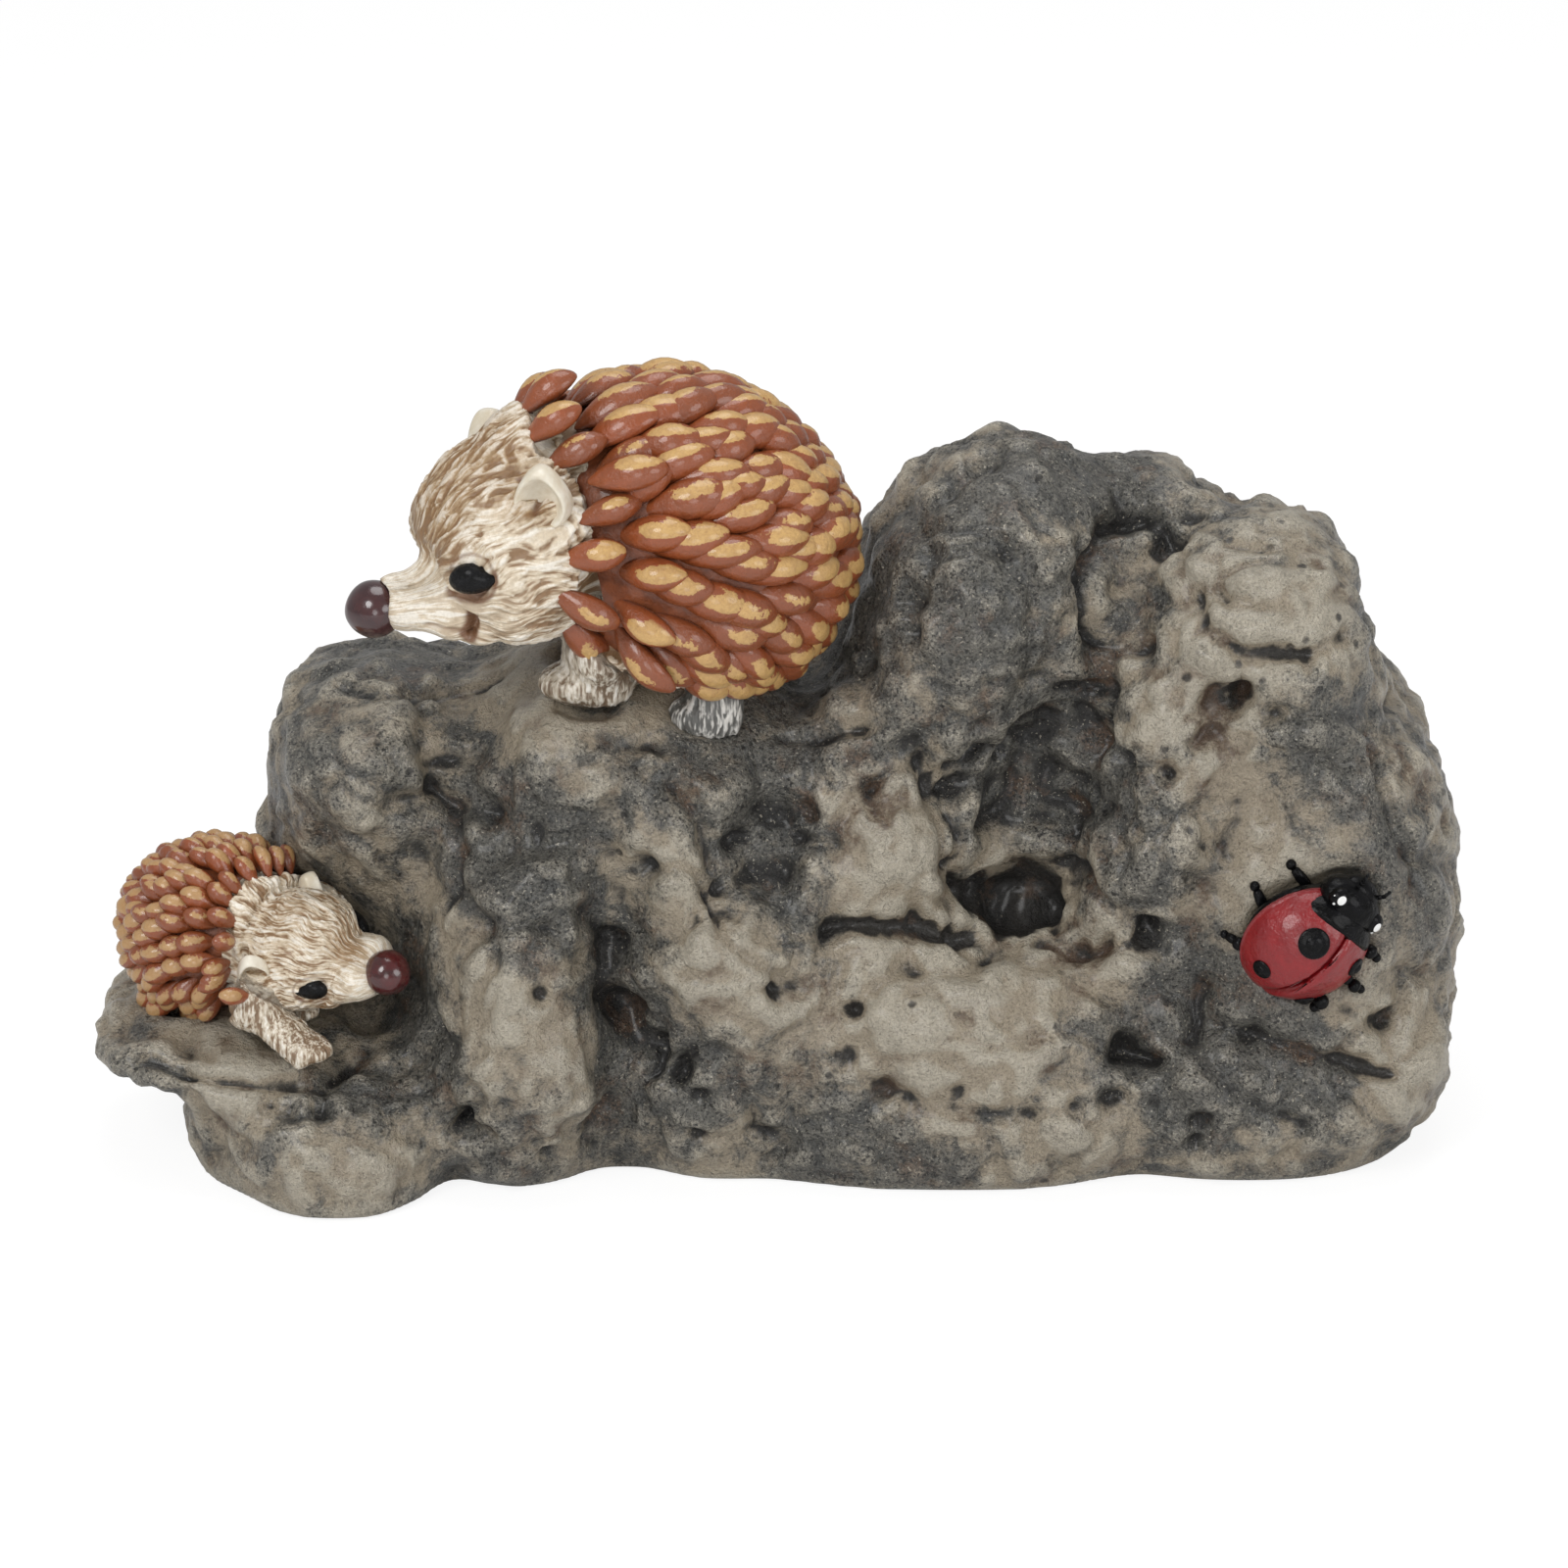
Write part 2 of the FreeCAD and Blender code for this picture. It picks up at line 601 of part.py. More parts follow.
def leg_blank(s, hip, foot):
    """A tapered leg from its hip into its socket in the rock, with a paw."""
    line = foot - hip
    shank = Part.makeCone(
        HIP_SHARE * s.ankle_width / 2, s.ankle_width / 2, line.Length + SOCKET_DEPTH, hip, line
    )
    heading = FreeCAD.Rotation(Vector(0, 0, 1), s.yaw)
    paw = ellipsoid(*[share * s.ankle_width for share in PAW_SIZE_SHARES])
    toe = foot + heading.multVec(Vector(PAW_FORWARD_SHARE * s.ankle_width, 0, 0))
    return shank.fuse(placed(paw, FreeCAD.Placement(toe, heading)))


def largest_solid(shape):
    return max(shape.Solids, key=lambda solid: solid.Volume)


def hedgehog(name, s):
    """All nodes of one hedgehog in the row frame, and the shapes that the rock is cut for."""
    body = body_placement(s)
    head_frame = body.multiply(head_placement(s))
    torso = placed(torso_blank(s, 0), body)
    skin = placed(torso_blank(s, s.coat_thickness), body)
    coat = placed(coat_blank(s), body)
    head = placed(head_blank(s), head_frame)
    nose = at(ellipsoid(s.nose_width, s.nose_width, s.nose_width), Vector(s.nose_reach, 0, 0))
    nose = placed(nose, head_frame)
    cranium_centre = head_frame.multVec(Vector(s.head_reach, 0, s.head_rise))
    obstacles = [(cranium_centre, cranium_centre, s.head_width / 2)]
    nodes = {f"{name}_torso": torso, f"{name}_quill_coat": coat, f"{name}_nose": nose}
    eyes = []
    legs = []
    for word, side in (("left", 1), ("right", -1)):
        eyes.append(placed(eye_blank(s, side), head_frame))
        nodes[f"{name}_eye_{word}"] = eyes[-1]
        ear = placed(ear_blank(s, side), head_frame)
        nodes[f"{name}_ear_{word}"] = largest_solid(ear.cut([head, skin]))
        ear_centre = head_frame.multVec(on_head(s, side * s.ear_bearing, s.ear_rise))
        obstacles.append((ear_centre, ear_centre, s.ear_width / 2))
        for pair, reach, spread, lean in (
            ("foreleg", s.foreleg_reach, s.foreleg_spread, s.foreleg_lean),
            ("hind_leg", s.hind_leg_reach, s.hind_leg_spread, s.hind_leg_lean),
        ):
            hip, foot = leg_line(s, body, reach, side * spread, lean)
            legs.append(leg_blank(s, hip, foot))
            nodes[f"{name}_{pair}_{word}"] = largest_solid(legs[-1].cut([torso, coat, head]))
            obstacles.append((hip, foot, HIP_SHARE * s.ankle_width / 2))
    nodes[f"{name}_head"] = head.cut([torso, coat, nose, *eyes])
    for row in range(s.quill_rows):
        quills = quill_row(s, body, row, obstacles)
        if quills:
            nodes[f"{name}_quill_row_{row + 1:02d}"] = Part.Compound(quills)
    return nodes, [skin, head, *legs]


# Ladybird: +X to its head, +Z out of the rock, origin where its body meets the rock

def ladybird_placement():
    x_share, z_share = LADYBIRD_PLACE_SHARES
    spot = rock_front(x_share * ROCK_LENGTH, z_share * ROCK_HEIGHT)
    normal = rock_normal(spot)
    across = Vector(0, 0, 1).cross(normal).normalize()
    heading = math.radians(LADYBIRD_HEADING)
    forward = across * math.cos(heading) + normal.cross(across) * math.sin(heading)
    facing = FreeCAD.Rotation(forward, normal.cross(forward), normal, "ZXY")
    return FreeCAD.Placement(spot - normal * LADYBIRD_SINK, facing)


def ladybird_spot(centre, bearing, rise, width):
    """A low round spot let into a wing case."""
    radius = LADYBIRD_LENGTH / 2
    way = toward(bearing, rise)
    height = LADYBIRD_SPOT_DEPTH + 2 * LADYBIRD_SPOT_HEIGHT
    disc = Part.makeCylinder(width / 2, height, centre + way * (radius - LADYBIRD_SPOT_DEPTH), way)
    return disc.common(Part.makeSphere(radius + LADYBIRD_SPOT_HEIGHT, centre))


def ladybird():
    """All nodes of the ladybird in the row frame, and the shapes that the rock is cut for."""
    up = Vector(0, 0, 1)
    span = LADYBIRD_LENGTH + OVERRUN
    top_half = Part.makeBox(span, span, span, Vector(-span / 2, -span / 2, LADYBIRD_BODY_HEIGHT))
    dome_centre = Vector(0, 0, LADYBIRD_HEIGHT - LADYBIRD_LENGTH / 2)
    body = Part.makeCylinder(
        LADYBIRD_BODY_WIDTH / 2, LADYBIRD_SEAT_DEPTH + LADYBIRD_BODY_HEIGHT,
        Vector(0, 0, -LADYBIRD_SEAT_DEPTH), up,
    )
    pronotum = Part.makeSphere(LADYBIRD_PRONOTUM_WIDTH / 2, Vector(LADYBIRD_PRONOTUM_REACH, 0, 0))
    head_centre = Vector(LADYBIRD_HEAD_REACH, 0, LADYBIRD_BODY_HEIGHT)
    head = Part.makeSphere(LADYBIRD_HEAD_WIDTH / 2, head_centre)
    spots = []
    eyes = []
    antennae = []
    legs = []
    for side in (1, -1):
        spots.append(ladybird_spot(
            dome_centre, side * LADYBIRD_FRONT_SPOT_BEARING, LADYBIRD_FRONT_SPOT_RISE,
            LADYBIRD_FRONT_SPOT_WIDTH,
        ))
        spots.append(ladybird_spot(
            dome_centre, side * LADYBIRD_REAR_SPOT_BEARING, LADYBIRD_REAR_SPOT_RISE,
            LADYBIRD_REAR_SPOT_WIDTH,
        ))
        eye_way = toward(side * LADYBIRD_EYE_BEARING, LADYBIRD_EYE_RISE)
        eyes.append(Part.makeSphere(
            LADYBIRD_EYE_WIDTH / 2, head_centre + eye_way * (LADYBIRD_HEAD_WIDTH / 2)
        ))
        horn_way = toward(side * LADYBIRD_ANTENNA_BEARING, 0)
        antennae.append(Part.makeCone(
            LADYBIRD_ANTENNA_WIDTH / 2, LADYBIRD_ANTENNA_WIDTH / 4,
            LADYBIRD_HEAD_WIDTH / 2 + LADYBIRD_ANTENNA_LENGTH, head_centre, horn_way,
        ).cut(head))
        for bearing in LADYBIRD_LEG_BEARINGS:
            out = toward(side * bearing, 0)
            hip = out * (LADYBIRD_BODY_WIDTH / 3)
            line = out * LADYBIRD_LEG_REACH - up * LADYBIRD_LEG_DROP - hip
            legs.append(Part.makeCone(
                LADYBIRD_LEG_WIDTH / 2, LADYBIRD_LEG_WIDTH / 3, line.Length, hip, line
            ))
    dome = Part.makeSphere(LADYBIRD_LENGTH / 2, dome_centre).common(top_half)
    cases = dome.cut([pronotum, head, *spots])
    gap = LADYBIRD_SEAM_WIDTH / 2
    left_half = Part.makeBox(span, span, 2 * span, Vector(-span / 2, gap, -span))
    right_half = Part.makeBox(span, span, 2 * span, Vector(-span / 2, -gap - span, -span))
    nodes = {
        "ladybird_body": body,
        "ladybird_wing_case_left": cases.common(left_half),
        "ladybird_wing_case_right": cases.common(right_half),
        "ladybird_pronotum": pronotum.cut([head, body]),
        "ladybird_head": head.cut([body, *eyes]),
        "ladybird_eyes": Part.Compound([eye.cut(pronotum) for eye in eyes]),
        "ladybird_spots": Part.Compound([spot.cut(pronotum) for spot in spots]),
        "ladybird_legs": Part.Compound([leg.cut([body, pronotum, head]) for leg in legs]),
        "ladybird_antennae": Part.Compound(antennae),
    }
    place = ladybird_placement()
    nodes = {name: placed(shape, place) for name, shape in nodes.items()}
    return nodes, [placed(shape, place) for shape in (body, pronotum, head, *legs)]


def main():
    os.makedirs("parts", exist_ok=True)
    nodes = {}
    rock = rock_blank().cut(ground())
    mother = hedgehog("mother", Animal("MOTHER_"))
    young = hedgehog("young", Animal("YOUNG_"))
    for made, seats in (mother, young, ladybird()):
        nodes.update(made)
        for seat in seats:
            rock = rock.cut(seat)
    nodes["rock"] = rock
    for name, shape in nodes.items():
        shape.exportStep(f"parts/{name}.step")


main()
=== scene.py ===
import math
import random

import bmesh
import bpy
import numpy as np
from mathutils import Matrix, Vector, noise
from mathutils.bvhtree import BVHTree
from mathutils.kdtree import KDTree


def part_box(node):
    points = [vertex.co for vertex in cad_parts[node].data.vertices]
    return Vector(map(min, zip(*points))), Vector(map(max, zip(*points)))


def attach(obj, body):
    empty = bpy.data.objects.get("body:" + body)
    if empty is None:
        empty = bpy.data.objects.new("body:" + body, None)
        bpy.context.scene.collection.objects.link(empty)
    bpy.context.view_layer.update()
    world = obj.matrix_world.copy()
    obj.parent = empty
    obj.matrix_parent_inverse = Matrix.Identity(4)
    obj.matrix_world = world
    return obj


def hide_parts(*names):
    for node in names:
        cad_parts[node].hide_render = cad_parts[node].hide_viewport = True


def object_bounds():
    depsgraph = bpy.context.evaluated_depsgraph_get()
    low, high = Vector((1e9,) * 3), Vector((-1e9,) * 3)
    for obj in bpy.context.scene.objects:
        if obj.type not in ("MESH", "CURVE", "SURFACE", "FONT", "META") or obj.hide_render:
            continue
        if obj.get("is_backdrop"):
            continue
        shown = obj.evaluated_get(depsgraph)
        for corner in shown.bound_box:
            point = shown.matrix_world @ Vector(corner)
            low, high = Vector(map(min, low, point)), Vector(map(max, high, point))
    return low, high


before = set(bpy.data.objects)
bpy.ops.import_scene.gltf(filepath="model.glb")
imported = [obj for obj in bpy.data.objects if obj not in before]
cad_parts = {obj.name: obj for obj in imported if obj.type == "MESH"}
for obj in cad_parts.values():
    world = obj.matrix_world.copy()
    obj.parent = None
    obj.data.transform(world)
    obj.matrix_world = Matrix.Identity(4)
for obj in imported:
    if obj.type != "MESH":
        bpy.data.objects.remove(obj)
cad_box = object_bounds()

# A hand-painted resin ornament: a mother hedgehog, her young and a ladybird on a pitted rock.
# Lengths are in millimetres unless a name says otherwise, and MM turns them into metres.
# Names that end in _PX hold places in the photograph, 1600 pixels wide and high.

MM = 0.001
BODY = "root"
WELD = 0.00001

# Camera
PHOTO_SIZE_PX = 1600
PX_PER_MM = 7.07
CAMERA_RISE = 22.0
CAMERA_DISTANCE = 800.0
CAMERA_TARGET_HEIGHT = 48.9
SENSOR_WIDTH = 36.0

# Rock casting
ROCK_VOXEL = 0.9
ROCK_CALM_START = 0.6
ROCK_CALM_END = 7.0
ROCK_FOOT = 4.0
ROCK_SETTLE = 6
ROCK_SWELLS = ((12.0, 1.5), (6.0, 1.0), (3.0, 0.5), (1.7, 0.2))
ROCK_FOLDS = ((17.0, 0.10, 1.6), (9.0, 0.09, 1.0))
ROCK_POCKET_CELL = 8.5
ROCK_POCKET_SHARE = 0.62
ROCK_POCKET_DEPTH = 1.7
ROCK_POCKET_WIDTH = 0.34
ROCK_WARP_SIZE = 11.0
ROCK_WARP_REACH = 3.5
ROCK_WARP_SHIFTS = (3, 41, 77)
ROCK_DEEPEST = -7.0
ROCK_HIGHEST = 4.5
# Rounds of smoothing that the paint's pits and its wider hollows are measured against
ROCK_SUNK_ROUNDS = (("pit", 7), ("hollow", 70))
MOST_PAINT = 1.2

# How far rough noise frays the edges of what is carved and painted
FRAY_DENT = 1.5
FRAY_SHADE_AND_STAIN = 0.8
FRAY_WASH = 0.6
FRAY_LUMP = 0.5
FRAY_CRACK = 2.2
PAINT_SPREAD = 1.3

# Dents: place, radius and depth
ROCK_DENTS_PX = (
    (475, 1157, 3.2, 3.6), (470, 1145, 2.4, 2.6), (291, 1132, 3.0, 2.2), (331, 1128, 2.6, 2.0),
    (173, 1117, 1.6, 0.9), (459, 775, 2.4, 1.6), (381, 857, 3.0, 1.4), (546, 848, 2.4, 1.6),
    (555, 1015, 2.4, 1.6), (669, 1067, 3.4, 2.8), (688, 1091, 3.6, 3.0), (640, 1035, 3.0, 2.4),
    (711, 1164, 2.6, 2.2), (782, 1164, 2.2, 1.8), (735, 926, 3.0, 1.8), (796, 1018, 2.6, 2.4),
    (867, 1028, 2.6, 2.4), (782, 895, 4.6, 2.2), (822, 828, 3.6, 2.2), (935, 1012, 3.4, 1.2),
    (979, 1117, 2.2, 1.6), (898, 1119, 2.0, 1.2), (1133, 1122, 2.4, 1.8), (1178, 1125, 2.2, 1.6),
    (1225, 1151, 2.8, 2.2), (901, 1187, 2.6, 1.2), (1151, 1072, 3.8, 3.0), (932, 644, 2.2, 2.0),
    (996, 775, 3.4, 3.6), (985, 810, 2.6, 2.4), (1035, 925, 4.6, 3.6), (1010, 915, 3.6, 3.0),
    (1070, 930, 3.4, 2.6), (1172, 965, 3.8, 2.6), (1193, 791, 2.6, 2.0), (1245, 723, 4.4, 2.6),
    (1262, 716, 3.4, 2.0), (1183, 555, 3.6, 2.6), (1339, 676, 3.0, 1.9), (1162, 655, 3.4, 2.2),
    (1412, 1045, 3.4, 2.8), (1376, 1030, 2.6, 2.2), (1150, 524, 4.4, 2.6), (1216, 522, 2.8, 1.8),
    (897, 820, 4.4, 1.8), (842, 712, 1.3, 1.4), (860, 1085, 2.6, 1.4), (560, 1180, 2.4, 1.4),
    (740, 905, 3.0, 2.0), (752, 862, 2.4, 1.8), (700, 850, 2.0, 1.2), (1218, 1170, 2.2, 1.6),
    (1050, 800, 13.0, 3.4), (1046, 905, 8.0, 3.4), (1008, 772, 4.0, 2.6), (1095, 745, 8.0, 1.8),
    (1245, 738, 6.0, 2.2), (1152, 1080, 4.6, 2.4), (808, 1012, 3.4, 1.8), (1150, 950, 5.0, 1.8),
    (795, 832, 4.6, 2.4), (150, 1122, 4.0, 1.6), (190, 1142, 3.0, 1.6), (1200, 545, 4.0, 1.8),
)

# Lumps: place, radius and height
ROCK_LUMPS_PX = (
    (856, 722, 5.6, 3.2), (885, 520, 4.0, 2.6), (872, 536, 3.0, 2.0), (1162, 892, 5.0, 1.4),
    (750, 800, 6.0, 1.4), (125, 1025, 6.0, 1.0), (985, 700, 6.0, 1.0), (1086, 925, 3.4, 1.4),
    (1235, 780, 4.0, 1.2), (1400, 700, 5.0, 1.2), (1260, 950, 4.0, 1.2), (520, 940, 5.0, 1.2),
    (590, 1130, 5.0, 1.2), (1060, 1100, 5.0, 1.0), (330, 700, 5.0, 1.0), (445, 705, 5.0, 1.0),
    (600, 800, 5.0, 1.0),
)

# Cracks: width, depth, then the places that each runs through
ROCK_CRACKS_PX = (
    (1.3, 3.0, ((845, 950), (870, 944), (905, 951), (935, 946), (965, 956), (1000, 953))),
    (1.1, 2.2, ((1060, 960), (1110, 972), (1160, 968))),
    (1.1, 2.6, ((1240, 1042), (1290, 1062), (1329, 1074), (1380, 1084), (1420, 1096))),
    (1.4, 2.4, ((1180, 520), (1130, 540), (1105, 590), (1116, 650), (1130, 700))),
    (1.4, 2.0, ((1219, 603), (1230, 640), (1262, 664), (1330, 668), (1372, 650))),
    (1.8, 2.8, ((626, 960), (622, 1000), (640, 1050), (680, 1095), (711, 1119))),
    (1.3, 1.8, ((445, 800), (461, 830), (470, 864), (462, 900), (450, 930))),
    (1.5, 2.2, ((560, 700), (600, 745), (655, 760), (690, 752))),
    (1.3, 1.8, ((690, 800), (720, 850), (735, 900), (700, 950))),
    (1.4, 2.0, ((930, 760), (960, 800), (985, 850), (990, 900))),
    (1.2, 1.6, ((350, 700), (400, 715), (455, 705), (520, 680))),
    (1.3, 1.8, ((150, 1080), (200, 1100), (262, 1105), (330, 1100), (390, 1060))),
    (1.3, 1.6, ((620, 1130), (600, 1165), (640, 1190))),
    (1.2, 1.6, ((880, 1100), (930, 1128), (1010, 1140), (1100, 1130))),
    (1.3, 1.8, ((1225, 1010), (1215, 1060), (1260, 1120), (1330, 1150))),
    (1.2, 1.4, ((1420, 700), (1400, 760), (1425, 830), (1450, 900))),
    (1.2, 1.6, ((1010, 700), (1060, 690), (1100, 712), (1120, 760), (1110, 820))),
    (1.2, 1.6, ((700, 760), (760, 742), (820, 752), (880, 745))),
)

# Washes: place, radius, and grey (above 0) or beige (below 0)
ROCK_WASHES_PX = (
    (400, 670, 13, 0.75), (560, 900, 17, 0.8), (1060, 770, 18, 1.0), (1010, 640, 10, 0.8),
    (1090, 470, 16, 1.0), (1150, 510, 9, 1.0), (790, 900, 14, 0.9), (1220, 1060, 17, 0.9),
    (1355, 780, 11, 0.9), (1300, 570, 8, 0.5), (1440, 890, 12, 0.7), (450, 1120, 16, 0.7),
    (350, 1130, 12, 0.5), (870, 620, 16, 0.9), (960, 560, 16, 0.8), (700, 770, 14, 0.6),
    (480, 860, 14, 0.6), (820, 740, 16, 0.7), (420, 1010, 12, 0.9), (700, 1100, 12, 0.9),
    (1150, 1150, 16, 0.5), (160, 1110, 7, 0.8), (860, 1190, 16, 0.5), (1162, 892, 6, 0.9),
    (930, 1040, 18, -0.9), (1010, 1010, 16, -0.8), (1300, 560, 15, -0.7), (1260, 640, 12, -0.8),
    (1350, 620, 10, -0.8), (1180, 720, 10, -0.8), (900, 860, 12, -0.9), (650, 875, 9, -0.9),
    (730, 970, 12, -0.8), (110, 1020, 8, -0.9), (230, 1080, 12, -0.7), (400, 1190, 14, -0.7),
    (1440, 1080, 9, -0.9), (860, 728, 6, -1.0), (520, 1060, 10, -0.6), (1100, 1175, 12, -0.8),
    (1290, 850, 14, -0.6), (530, 690, 12, -0.5), (480, 1000, 10, -0.5), (700, 700, 8, -0.6),
    (1130, 980, 7, -0.9), (1080, 640, 10, 0.5), (870, 525, 8, -1.0), (1480, 830, 10, -0.5),
    (290, 770, 10, 0.4), (640, 1000, 9, 0.7), (610, 1170, 10, 0.4), (1330, 1080, 10, 0.8),
)

# Black painted shade and umber stain in the hollows: place, radius, black, umber
ROCK_SHADE_AND_STAINS_PX = (
    (1000, 925, 3, 0.9, 0), (1022, 942, 4, 1.0, 0), (1050, 946, 4, 1.0, 0),
    (1072, 928, 4, 1.0, 0), (1088, 895, 4, 0.8, 0), (1050, 840, 12, 0.3, 0.2),
    (1090, 750, 9, 0.4, 0), (866, 945, 3, 1.0, 0), (896, 946, 3, 1.0, 0),
    (975, 944, 3.5, 1.0, 0), (1165, 965, 4, 0.8, 0.3), (1250, 735, 6, 0.2, 1.2),
    (1065, 1080, 4, 0.2, 1.0), (905, 820, 5, 0.2, 0.8), (770, 890, 4, 0.4, 0.6),
    (1035, 900, 5, 0.1, 0.5), (480, 800, 4, 0.1, 0.5), (420, 980, 5, 0.1, 0.5),
    (560, 1000, 6, 0.2, 0.5), (1300, 690, 5, 0.2, 0.7), (640, 1040, 4, 0.7, 0.2),
    (700, 1100, 5, 0.7, 0.2), (1330, 1075, 3, 0.5, 0.2), (820, 840, 5, 0.7, 0.3),
    (1110, 620, 5, 0.5, 0.2), (1190, 535, 6, 0.5, 0.2), (160, 1130, 5, 0.6, 0.2),
    (930, 1100, 5, 0.1, 0.5), (730, 1010, 5, 0.1, 0.4), (300, 1090, 5, 0.1, 0.4),
    (1380, 600, 5, 0.1, 0.5), (1100, 960, 4, 0.4, 0.6),
)

# Quills
QUILL_AROUND = 8
QUILL_ALONG = 8
QUILL_JITTER_SHARE = 0.12
QUILL_JITTER_TURN = 8.0
QUILL_SINK = 0.22
QUILL_DROOP = 0.75
QUILL_FALL = 1.6
QUILL_RAY = 70.0
QUILL_FRONT_REACH = 0.8
QUILL_REACH = 0.3
RING_STEP = 3
RING_FEWEST = 4
QUILL_LOOK_AHEAD = 12
QUILL_LEAN = 0.8
QUILL_LOW_EDGE = 0.35
QUILL_MIDDLE = 0.6
QUILL_LIFT = 0.3
QUILL_ROUGHNESS = 0.07
ROCK_COVER = 0.2
FRONT_QUILL_SHARE = 0.88
ROCK_REACH = 6.0
BEAD_AROUND = 24
BEAD_ALONG = 16
EAR_TURN = 58.0
EAR_STAND = 0.16
EAR_CLEARANCE = 0.62

# Fur
PUSH_START = -2.0
PUSH_END = 9.0
STRAND_RADIUS = 14.0
STRAND_STRETCH = 0.16
LEG_TOP_SHIFT = 0.4
SOLE_SHARE = 0.9
SMALLEST_ISLAND = 400
FIGURE_POINTS = 60000
KIND_POINTS = 4000
# Carved strokes: spacing, length and width for a figure of size 1, and sway in degrees
SHORT_STROKES = (0.85, 3.2, 0.90, 14)
LONG_STROKES = (1.4, 5.6, 1.35, 13)
STROKE_LENGTHS = (0.7, 1.3)
STROKE_WIDTHS = (0.75, 1.25)
STROKE_HEIGHTS = (0.7, 1.0)
COAT_DEPTH = 1.3
HAIR_LIFT = 0.7


# Shader maths

class Value:
    """A socket of a finish; the usual operators add the Math nodes that work them out."""

    def __init__(self, finish, socket):
        self.finish = finish
        self.socket = socket

    def maths(self, operation, *others):
        values = dict(enumerate((self, *others)))
        return self.finish.node("ShaderNodeMath", {"operation": operation}, values)

    def __add__(self, other):
        return self.maths("ADD", other)

    def __sub__(self, other):
        return self.maths("SUBTRACT", other)

    def __rsub__(self, other):
        return (self * -1) + other

    def __mul__(self, other):
        return self.maths("MULTIPLY", other)

    def __neg__(self):
        return self * -1

    __radd__ = __add__
    __rmul__ = __mul__

    def from_to(self, low, high):
        """0 below low, 1 above high and a smooth step between them."""
        values = {"Value": self, "From Min": low, "From Max": high}
        settings = {"interpolation_type": "SMOOTHSTEP"}
        return self.finish.node("ShaderNodeMapRange", settings, values)


class Finish:
    """A painted finish on one Principled shader; its constants sit on the shader's own sockets."""

    def __init__(self, name, **constants):
        self.material = bpy.data.materials.new(name)
        self.material.use_nodes = True
        self.tree = self.material.node_tree
        self.shader = self.tree.nodes["Principled BSDF"]
        for socket, value in constants.items():
            self.shader.inputs[socket.replace("_", " ")].default_value = value

    def node(self, kind, settings=None, values=None, out=0):
        made = self.tree.nodes.new(kind)
        for key, value in (settings or {}).items():
            setattr(made, key, value)
        for key, value in (values or {}).items():
            if isinstance(value, Value):
                self.tree.links.new(value.socket, made.inputs[key])
            else:
                made.inputs[key].default_value = value
        return Value(self, made.outputs[out])

    def place(self):
        """Object coordinates in millimetres."""
        return self.scaled(self.node("ShaderNodeTexCoord", out="Object"), 1 / MM)

    def noise(self, place, size, detail=2.0, roughness=0.5, shift=0.0, twist=0.0):
        """Noise from 0 to 1 whose features are about size millimetres wide."""
        apart = {0: place, 1: (shift,) * 3}
        moved = self.node("ShaderNodeVectorMath", {"operation": "ADD"}, apart)
        values = {
            "Vector": moved, "Scale": 1 / size, "Detail": detail,
            "Roughness": roughness, "Distortion": twist,
        }
        return self.node("ShaderNodeTexNoise", None, values)

    def cells(self, place, size):
        """Distance from the nearest of many scattered points, in cells of size millimetres."""
        return self.node("ShaderNodeTexVoronoi", None, {"Vector": place, "Scale": 1 / size})

    def attribute(self, name, out="Fac"):
        return self.node("ShaderNodeAttribute", {"attribute_name": name}, out=out)

    def attributes(self, *names):
        return [self.attribute(name) for name in names]

    def mix(self, share, below, above):
        """A colour between below, at 0, and above, at 1."""
        settings = {"data_type": "RGBA", "clamp_factor": True}
        values = {0: share}
        for index, colour in ((6, below), (7, above)):
            values[index] = colour if isinstance(colour, Value) else (*colour, 1)
        return self.node("ShaderNodeMix", settings, values, out=2)

    def scaled(self, vector, factor):
        """A colour or a place times a number."""
        values = {0: vector, "Scale": factor}
        return self.node("ShaderNodeVectorMath", {"operation": "SCALE"}, values)

    def bump(self, *layers):
        """A chain of bumps, each a height from 0 to 1 and its depth in millimetres."""
        normal = None
        for height, depth in layers:
            values = {"Height": height, "Distance": depth * MM, "Strength": 1.0}
            if normal:
                values["Normal"] = normal
            normal = self.node("ShaderNodeBump", None, values)
        return normal

    def paint(self, **sockets):
        for name, value in sockets.items():
            self.tree.links.new(value.socket, self.shader.inputs[name.replace("_", " ")])
        return self.material


# Finishes

WARM_BEIGE = (0.33, 0.278, 0.205)
PALE_BEIGE = (0.47, 0.43, 0.35)
MID_GREY = (0.105, 0.100, 0.086)
COOL_GREY = (0.060, 0.061, 0.058)
CHARCOAL = (0.012, 0.011, 0.010)
UMBER = (0.085, 0.048, 0.026)


